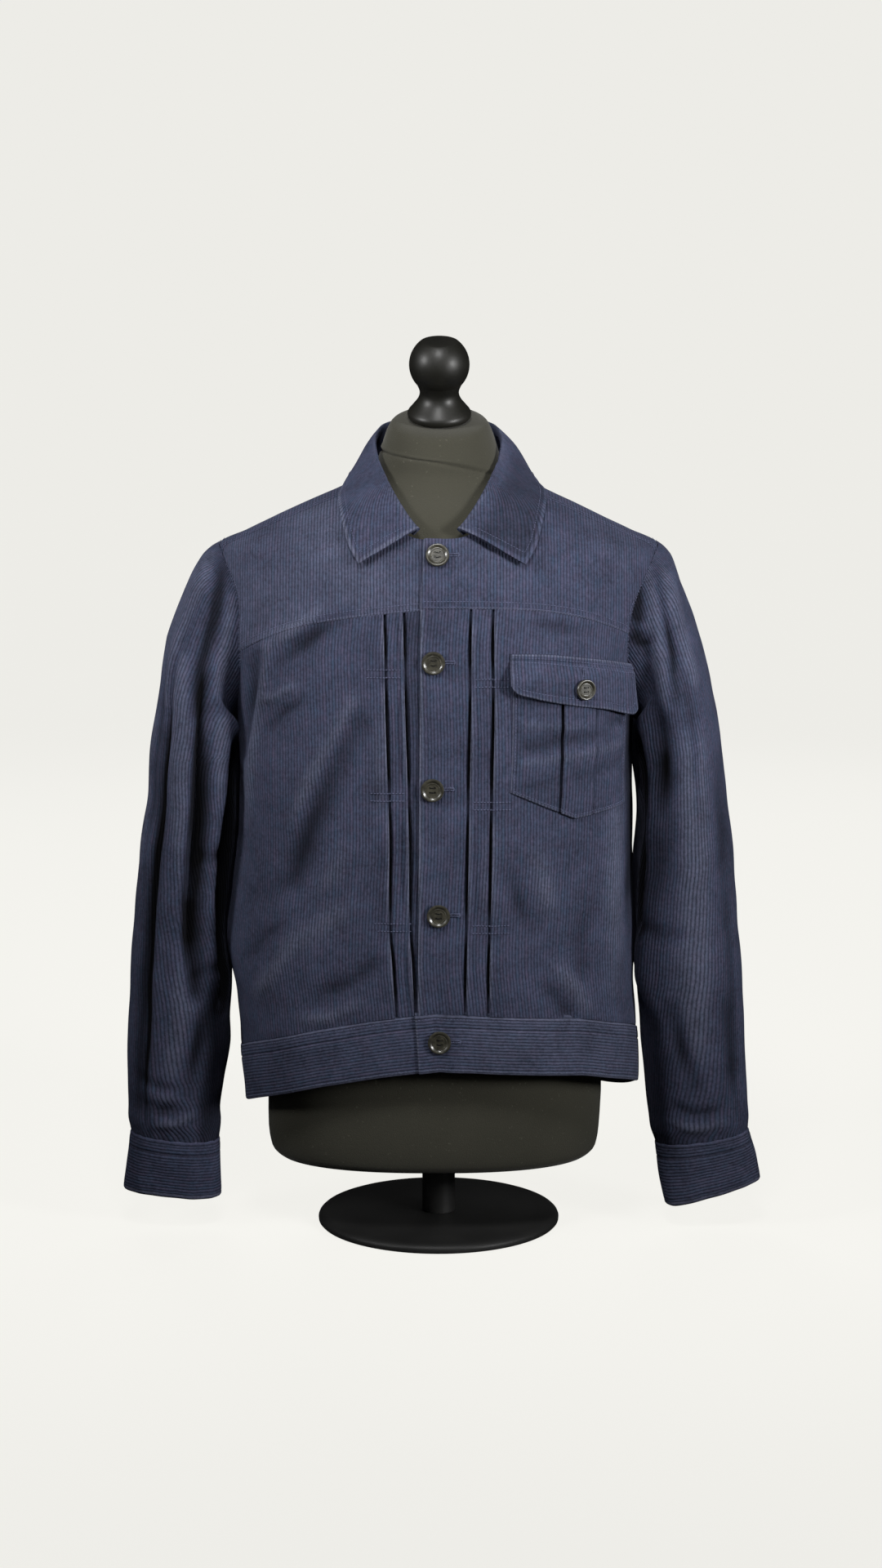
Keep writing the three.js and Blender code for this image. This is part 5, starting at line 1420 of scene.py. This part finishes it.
for below in (5.4, 9.2):
    row = nearest(downs * FLAP["height"], below)
    rows.append((points[row, 2:-2], normal[row, 2:-2]))
stitches("pocket_flap_stitches", rows)

# ---- Buttons and buttonholes ---------------------------------------------------------------------
# Six four-hole buttons of dark mottled resin with a polished raised rim, sewn through with thread.
# Each passes through a buttonhole worked in satin stitch, level on the fronts and upright on the flap.

finish = Finish("dark_horn")
mottle = finish.noise(190.0, 4.0)
veins = finish.noise(420.0, 3.0, distortion=1.4)
ramp = finish.node("ShaderNodeValToRGB", {"stops": [(0.36, colour(17, 17, 14)), (0.66, colour(58, 56, 47))]},
                   [mottle])
tone = finish.mix(veins * 0.4, ramp, colour(88, 85, 72))
HORN = finish.surface(Base_Color=tone, Roughness=0.28 + mottle * 0.12, Coat_Weight=0.3, Coat_Roughness=0.16,
                      Normal=finish.bump(veins, 0.00005))
finish = Finish("slit_shadow")
tone = finish.mix(finish.noise(800.0), colour(8, 9, 14), colour(20, 21, 30))
SLIT = finish.surface(Base_Color=tone, Roughness=0.95, Specular_IOR_Level=0.05)


def seated(bm, seat, normal):
    """Turns a button or buttonhole, made flat in mm about the origin, to its seat on the cloth."""
    upright = Vector(normal).to_track_quat("Z", "Y").to_matrix().to_4x4()
    bmesh.ops.transform(bm, matrix=Matrix.Translation(Vector(seat)) @ upright, verts=bm.verts)
    bmesh.ops.scale(bm, vec=(MM, MM, MM), verts=bm.verts)


def mesh_piece(name, bm, materials, sharp=35):
    """Puts a piece that was built up by hand into the scene."""
    mesh = bpy.data.meshes.new(name)
    bmesh.ops.recalc_face_normals(bm, faces=bm.faces)
    bm.to_mesh(mesh)
    bm.free()
    mesh.shade_smooth()
    mesh.set_sharp_from_angle(angle=math.radians(sharp))
    for material in materials:
        mesh.materials.append(material)
    return whole_piece(name, mesh)


def lump(bm, shape, round_it, along_it):
    """A drawn-out ball in the piece's second material."""
    made = bmesh.ops.create_uvsphere(bm, u_segments=round_it, v_segments=along_it, radius=1, matrix=shape)
    for face in {f for v in made["verts"] for f in v.link_faces}:
        face.material_index = 1


def spun(bm, profile, steps=48):
    """Turns a profile of (radius, height) about the z axis."""
    verts = [bm.verts.new((r, 0, h)) for r, h in profile]
    edges = [bm.edges.new(pair) for pair in zip(verts[:-1], verts[1:])]
    bmesh.ops.spin(bm, geom=verts + edges, cent=(0, 0, 0), axis=(0, 0, 1), angle=math.tau, steps=steps,
                   use_merge=True)
    bmesh.ops.remove_doubles(bm, verts=bm.verts, dist=1e-4)


def button(node, seat, normal, radius, dish, dished):
    """A button: back, turned rim, dish, and a middle with four holes that thread crosses."""
    bm = bmesh.new()
    spun(bm, [
        (dish, dished), (dish + 0.35, dished + 0.4), (dish + 0.8, dished + 0.5), (dish + 1.3, dished + 0.3),
        (0.74 * radius, 3.0), (0.80 * radius, 3.5), (0.86 * radius, 3.75), (0.93 * radius, 3.6),
        (0.98 * radius, 3.0), (radius, 2.2), (0.985 * radius, 1.4), (0.93 * radius, 0.7), (0.8 * radius, 0.2),
        (0.4, 0.0)])
    dish_edges = [e for e in bm.edges if e.is_boundary and e.verts[0].co.z > dished - 0.01]
    hole, gap = 0.105 * radius, 0.20 * radius
    holes = []
    for x, y in ((gap, gap), (-gap, gap), (-gap, -gap), (gap, -gap)):
        ring = bmesh.ops.create_circle(bm, segments=10, radius=hole,
                                       matrix=Matrix.Translation((x, y, dished)))["verts"]
        holes.append(list({e for v in ring for e in v.link_edges}))
    bmesh.ops.triangle_fill(bm, use_beauty=True, use_dissolve=False, edges=dish_edges + sum(holes, []),
                            normal=(0, 0, 1))
    for edges in holes:
        deeper = bmesh.ops.extrude_edge_only(bm, edges=edges)["geom"]
        low = [v for v in deeper if isinstance(v, bmesh.types.BMVert)]
        bmesh.ops.translate(bm, vec=(0, 0, -0.9), verts=low)
        bmesh.ops.contextual_create(bm, geom=low)
    bmesh.ops.edgeloop_fill(bm, edges=[e for e in bm.edges if e.is_boundary])
    bmesh.ops.recalc_face_normals(bm, faces=bm.faces)
    for y in (gap, -gap):
        for shift in (-0.32, 0.32):
            bar = Matrix.Diagonal((gap * 0.95, 0.22, 0.22, 1))
            lump(bm, Matrix.Translation((0, y + shift, dished + 0.12)) @ bar, 8, 5)
    seated(bm, seat, normal)
    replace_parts(mesh_piece(node + "_turned", bm, [HORN, SLIT]), node)


def buttonhole(name, seat, normal, start, end, upright=False):
    """A slit with satin stitches all round it, from start to end beside the button's middle."""
    bm = bmesh.new()
    half, reach = 1.05, 1.5
    straight = np.arange(start, end, 0.62)
    spokes = [((x, s * half), 90 * s) for s in (1, -1) for x in straight]
    spokes += [((end + 1.3 * math.cos(a), 1.5 * math.sin(a)), math.degrees(a))
               for a in np.radians(np.arange(-75, 76, 25))]
    for i, ((x, y), degrees) in enumerate(spokes):
        long = reach * (1 + 0.22 * math.sin(i * 2.3))
        turn = Matrix.Rotation(math.radians(degrees + 5 * math.sin(i * 1.7)), 4, "Z")
        shape = Matrix.Translation((x, y, 0.42)) @ turn @ Matrix.Diagonal((long * 0.72, 0.27, 0.32, 1))
        bmesh.ops.create_icosphere(bm, subdivisions=1, radius=1, matrix=shape)
    slit = Matrix.Diagonal(((end - start) / 2 + 0.5, 0.62, 0.16, 1))
    lump(bm, Matrix.Translation(((start + end) / 2 + 0.3, 0, 0.22)) @ slit, 16, 6)
    if upright:
        bmesh.ops.rotate(bm, cent=(0, 0, 0), matrix=Matrix.Rotation(math.radians(90), 3, "Z"), verts=bm.verts)
    seated(bm, seat, normal)
    mesh_piece(name, bm, [THREAD, SLIT], sharp=180)


FRONT_BUTTONS = [(-1.0, 706.0), (-5.0, 603.0), (-6.0, 478.0), (0.0, 352.0), (1.0, 224.5)]
for number, (x, z) in enumerate(FRONT_BUTTONS, 1):
    on_band = number == len(FRONT_BUTTONS)
    seat, beside = at_x(x, z), at_x(x + 12.0, z + 0.8)
    normal, out = outward(seat), outward(beside)
    standing = 4.0 if on_band else LAP_LIFT + 0.3 + float(drape(seat))
    button(f"front_button_{number}", seat + normal * (standing + 0.35), normal, 11.6, 6.4, 2.2)
    lift = standing if on_band else LAP_LIFT + 0.2 + float(drape(beside))
    buttonhole(f"buttonhole_{number}", beside + out * lift, out, -3.0, 8.0)
share = 0.53                 # the flap's button, from the flap's near end
out = outward(round_front(FLAP["start"] + FLAP["width"] * share, 576.0))
row = nearest(points[:, len(points[0]) // 2, 2], 576)
column = nearest(shares, share)
button("pocket_button", points[row, column] + out * 0.5, out, 10.4, 5.2, 2.0)
row = nearest(points[:, column, 2], 590)
buttonhole("buttonhole_flap", points[row, column] + out * 0.1, out, -4.0, 4.0, upright=True)

# ---- Dress form ----------------------------------------------------------------------------------
# A hollow moulded torso covered in dark jersey drawn tight, sewn at the sides and round the neck,
# whose cap leans forward. It is smooth, a little lint-flecked, and open to nothing.

near_body = []               # the form's shoulders lie just under the yokes
for level in (716.0, 726.0, 738.0, 750.0):
    wide, front, back, _, shift = (float(value) for value in body(level))
    near_body.append([level - 4, wide, front - 4, back - 4, 2, shift])
torso = smooth_table([
    [76, 150, 90, 82, 2.4, -5], [78, 161, 101, 92, 2.4, -5], [86, 168, 108, 98, 2.4, -5],
    [105, 171, 111, 101, 2.4, -5], [140, 172, 112, 103, 2.4, -4], [210, 172, 112, 104, 2.4, -4],
    [300, 160, 106, 98, 2.4, -3], [380, 150, 102, 94, 2.4, -2], [460, 160, 106, 100, 2.4, -1],
    [540, 174, 112, 108, 2.5, 0], [620, 184, 116, 112, 2.5, 0], [680, 192, 112, 108, 2.3, 0],
    [700, 197, 109, 105, 2.1, 0], *near_body, [762, 88, 68, 70, 2, 1.5], [774, 70, 61, 63, 2, 1],
    [782, 65, 58.5, 60, 2, 1], [793, 61.5, 57.5, 58, 2, 0.8], [806, 57.5, 54.5, 55, 2, 0.8],
    [818, 53.5, 51.5, 52, 2, 0.8], [826, 49.5, 49, 49, 2, 0.8], [829, 46, 46, 46, 2, 0.8],
    [831, 38, 38, 38, 2, 0.8],
])
CAP_LEAN = math.radians(16)
levels = np.concatenate([[76, 76.4, 77, 78, 80, 83, 86, 90, 96, 105, 120], np.linspace(140, 690, 56), [696],
                         np.linspace(700, 831, 90)])[:, None]
lean_share = np.interp(levels, [793, 806, 818, 826], [0, 0.4, 0.75, 1])
turn = np.linspace(0, 360, 145)
grid = at_angle(torso, turn, levels + 0 * turn)
normal = outward(grid, torso)
# Seams: one down each side and down the back, and one round the foot of the neck's cap.
MM_PER_DEGREE = 2.6          # round the form, on average
from_seam = np.min([np.abs((turn - seam + 180) % 360 - 180) for seam in (-14, 194, 90)], axis=0)
groove = -0.7 * np.exp(-(from_seam * MM_PER_DEGREE / 1.6) ** 2) * (levels < 770)
from_neck_line = levels - (788.5 - 0.21 * grid[:, :, 0] - 0.06 * grid[:, :, 1])
groove = groove - 1.6 * np.exp(-(from_neck_line / 1.7) ** 2)
groove = groove + 0.7 * np.exp(-((from_neck_line - 4.0) / 2.2) ** 2)
grid = grid + normal * groove[..., None]
grid[:, :, 2] += lean_share * math.tan(CAP_LEAN) * grid[:, :, 1]
bm = bmesh.new()
bmesh.ops.create_grid(bm, x_segments=len(turn) - 1, y_segments=len(levels) - 1, size=1)
bm.verts.ensure_lookup_table()
for vert, p in zip(bm.verts, grid.reshape(-1, 3)):
    vert.co = p * MM
bmesh.ops.remove_doubles(bm, verts=bm.verts, dist=1e-6)
ends = [e for e in bm.edges if e.is_boundary]
for low in (True, False):
    bmesh.ops.edgeloop_fill(bm, edges=[e for e in ends if (e.verts[0].co.z < 0.4) == low])

finish = Finish("olive_grey_jersey")
knit = finish.noise(900.0, 2.0)
broad = finish.noise(14.0, 3.0)
lint = finish.noise(310.0, 1.0)
tone = finish.mix(knit * 0.7, colour(47, 46, 39), colour(69, 68, 57))
tone = finish.mix(broad * 0.35, tone, colour(77, 75, 65))
tone = finish.mix(lint.math("GREATER_THAN", 0.74) * 0.25, tone, colour(112, 110, 98))
JERSEY = finish.surface(Base_Color=tone, Roughness=0.82 + knit * 0.12, Sheen_Weight=0.12,
                        Sheen_Roughness=0.5, Specular_IOR_Level=0.18, Normal=finish.bump(knit, 0.00035))
form = mesh_piece("form_torso_cover", bm, [JERSEY], sharp=50)
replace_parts(form, "form_torso")

# ---- Knob ----------------------------------------------------------------------------------------
# A turned wooden ball on a flared foot, lacquered near-black, set in the neck's leaning cap.

finish = Finish("black_lacquer")
cloud = finish.noise(60.0, 3.0)
dust = finish.noise(700.0, 1.0).math("GREATER_THAN", 0.73)
tone = finish.mix(cloud, colour(16, 16, 13), colour(27, 26, 21))
tone = finish.mix(dust * 0.15, tone, colour(80, 80, 70))
LACQUER = finish.surface(Base_Color=tone, Roughness=0.42 + cloud * 0.12, Coat_Weight=0.15,
                         Coat_Roughness=0.32, Specular_IOR_Level=0.38,
                         Normal=finish.bump(finish.noise(90.0, 2.0), 0.0002))


def turned_piece(name, node, profile, middle, steps, material, sharp, seat=None):
    """A solid turned from a profile of (radius, height), its two ends closed at the axis."""
    bm = bmesh.new()
    spun(bm, profile, steps)
    ends = [e for e in bm.edges if e.is_boundary]
    for upper in (True, False):
        bmesh.ops.edgeloop_fill(bm, edges=[e for e in ends if (e.verts[0].co.z > middle) == upper])
    if seat:
        bmesh.ops.transform(bm, matrix=seat, verts=bm.verts)
    bmesh.ops.scale(bm, vec=(MM, MM, MM), verts=bm.verts)
    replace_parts(mesh_piece(name, bm, [material], sharp), node)


BALL = 30.2                  # the ball's radius, and its middle's height above the foot
BALL_HEIGHT = 56.5
profile = [(0.3, 0), (28.6, 0), (30.2, 0.6), (31.6, 2.2), (32, 4.5), (31.8, 6.6), (30.6, 8.8), (28.2, 11.6),
           (25.5, 15), (23.2, 17.8), (21.5, 20.5), (20.2, 23.5), (19.6, 26.5), (19.7, 29.2), (20.5, 31.7),
           (21.3, 33.6), (21.9, 34.9)]
profile += [(BALL * math.cos(a), BALL_HEIGHT + BALL * math.sin(a))
            for a in np.radians(np.linspace(-43, 51, 34))]
top = BALL_HEIGHT + BALL * math.sin(math.radians(53)) - 0.1
profile += [(18.4, top - 0.25), (17.6, top), (9, top + 0.1), (0.3, top + 0.1)]
seat = Matrix.Translation(Vector((0.8, 0, 832.4))) @ Matrix.Rotation(CAP_LEAN, 4, "X")
turned_piece("form_knob_turned", "form_knob", profile, 30, 96, LACQUER, 40, seat)

# ---- Stand ---------------------------------------------------------------------------------------
# A round steel base plate with a turned edge and a short tubular pole, powder-coated satin black.

finish = Finish("black_powder_coat")
grain = finish.noise(1500.0, 2.0)
handled = finish.noise(18.0, 3.0)
tone = finish.mix(handled, colour(28, 28, 28), colour(42, 42, 41))
STEEL = finish.surface(Base_Color=tone, Roughness=0.42 + handled * 0.16, Metallic=0.0,
                       Normal=finish.bump(grain, 0.00012), Specular_IOR_Level=0.45)
base_profile = [(0.4, 0), (120.5, 0), (123.6, 0.5), (124.8, 1.8), (125, 4.6), (124.2, 6.6), (122.3, 8.4),
                (119.5, 9.5), (116.5, 10), (24, 10), (0.4, 10)]
turned_piece("stand_base_plate", "stand_base", base_profile, 5, 128, STEEL, 30)
pole_profile = [(0.4, 10.3), (17, 10.3), (17, 10.9), (17, 75.1), (17, 75.7), (0.4, 75.7)]
turned_piece("stand_pole_tube", "stand_pole", pole_profile, 40, 64, STEEL, 30)

# ---- Stage ---------------------------------------------------------------------------------------
# A plain pale sweep all round, soft studio lights from above the front, and the camera.

finish = Finish("pale_sweep")
pale = finish.mix(finish.noise(3.0) * 0.3, colour(238, 237, 232), colour(240, 239, 234))
dull = finish.mix(finish.noise(3.0) * 0.3, colour(96, 96, 94), colour(98, 98, 95))
SWEEP = finish.surface(Base_Color=dull, Roughness=1.0, Emission_Color=pale, Emission_Strength=0.985,
                       Specular_IOR_Level=0.0)
bm = bmesh.new()
spun(bm, [(0.02, 0), (0.5, 0), (3.6, 0), (4.0, 0.05), (4.4, 0.25), (4.7, 0.6), (4.8, 1.1), (4.8, 5.5)], 96)
middle_hole = [e for e in bm.edges if e.is_boundary and e.verts[0].co.z < 1]
bmesh.ops.holes_fill(bm, edges=middle_hole, sides=0)
mesh = bpy.data.meshes.new("sweep")
bm.to_mesh(mesh)
bm.free()
mesh.shade_smooth()
mesh.materials.append(SWEEP)
sweep = bpy.data.objects.new("sweep", mesh)
bpy.context.collection.objects.link(sweep)
sweep.visible_diffuse = False
sweep.visible_glossy = False

for name in ("Cube", "Light", "Camera"):
    if name in bpy.data.objects:
        bpy.data.objects.remove(bpy.data.objects[name])

LIGHTS = [
    ("left", (-1.95, -1.05, 1.50), (0, 0, 0.76), 0.55, 2.6, 46),
    ("right", (1.80, -1.40, 1.02), (0, 0, 0.66), 0.55, 4.2, 50),
    ("key", (-0.1, -1.50, 2.30), (0, 0, 0.85), 0.5, 3.3, 60),
    ("front", (-0.3, -3.3, 1.3), (0, 0, 0.70), 0.8, 0.4, 60),
    ("top", (0.0, 0.2, 2.7), (0, 0, 0.5), 1.0, 1.0, 120),
    ("back_left", (-0.9, 3.0, 2.2), (0, 0, 0.52), 1.2, 13.0, 120),
    ("back_right", (1.0, 3.2, 1.5), (0, 0, 0.52), 1.2, 9.0, 120),
]
for name, spot, aim, size, power, spread in LIGHTS:
    lamp = bpy.data.lights.new(name, "AREA")
    lamp.size = size
    lamp.energy = power
    lamp.spread = math.radians(spread)
    light = bpy.data.objects.new(name, lamp)
    bpy.context.collection.objects.link(light)
    light.location = spot
    light.visible_glossy = not name.startswith("back")
    light.rotation_euler = (Vector(spot) - Vector(aim)).to_track_quat("Z", "Y").to_euler()

world = bpy.context.scene.world or bpy.data.worlds.new("studio")
bpy.context.scene.world = world
world.use_nodes = True
world.node_tree.nodes["Background"].inputs["Color"].default_value = (0.93, 0.94, 1.0, 1)
world.node_tree.nodes["Background"].inputs["Strength"].default_value = 0.015
bpy.context.scene.view_settings.view_transform = "Standard"

lens = bpy.data.cameras.new("camera")
lens.lens = 81
lens.sensor_width = 36
lens.clip_end = 60
camera = bpy.data.objects.new("camera", lens)
bpy.context.collection.objects.link(camera)
MIDDLE_X = 0.0025            # it looks at the middle of the part, a little from above
MIDDLE_HEIGHT = 0.46
DISTANCE = 3.6
RAISED = math.radians(10)
camera.location = (MIDDLE_X, -DISTANCE * math.cos(RAISED), MIDDLE_HEIGHT + DISTANCE * math.sin(RAISED))
camera.rotation_euler = (math.pi / 2 - RAISED, 0, 0)
bpy.context.scene.camera = camera
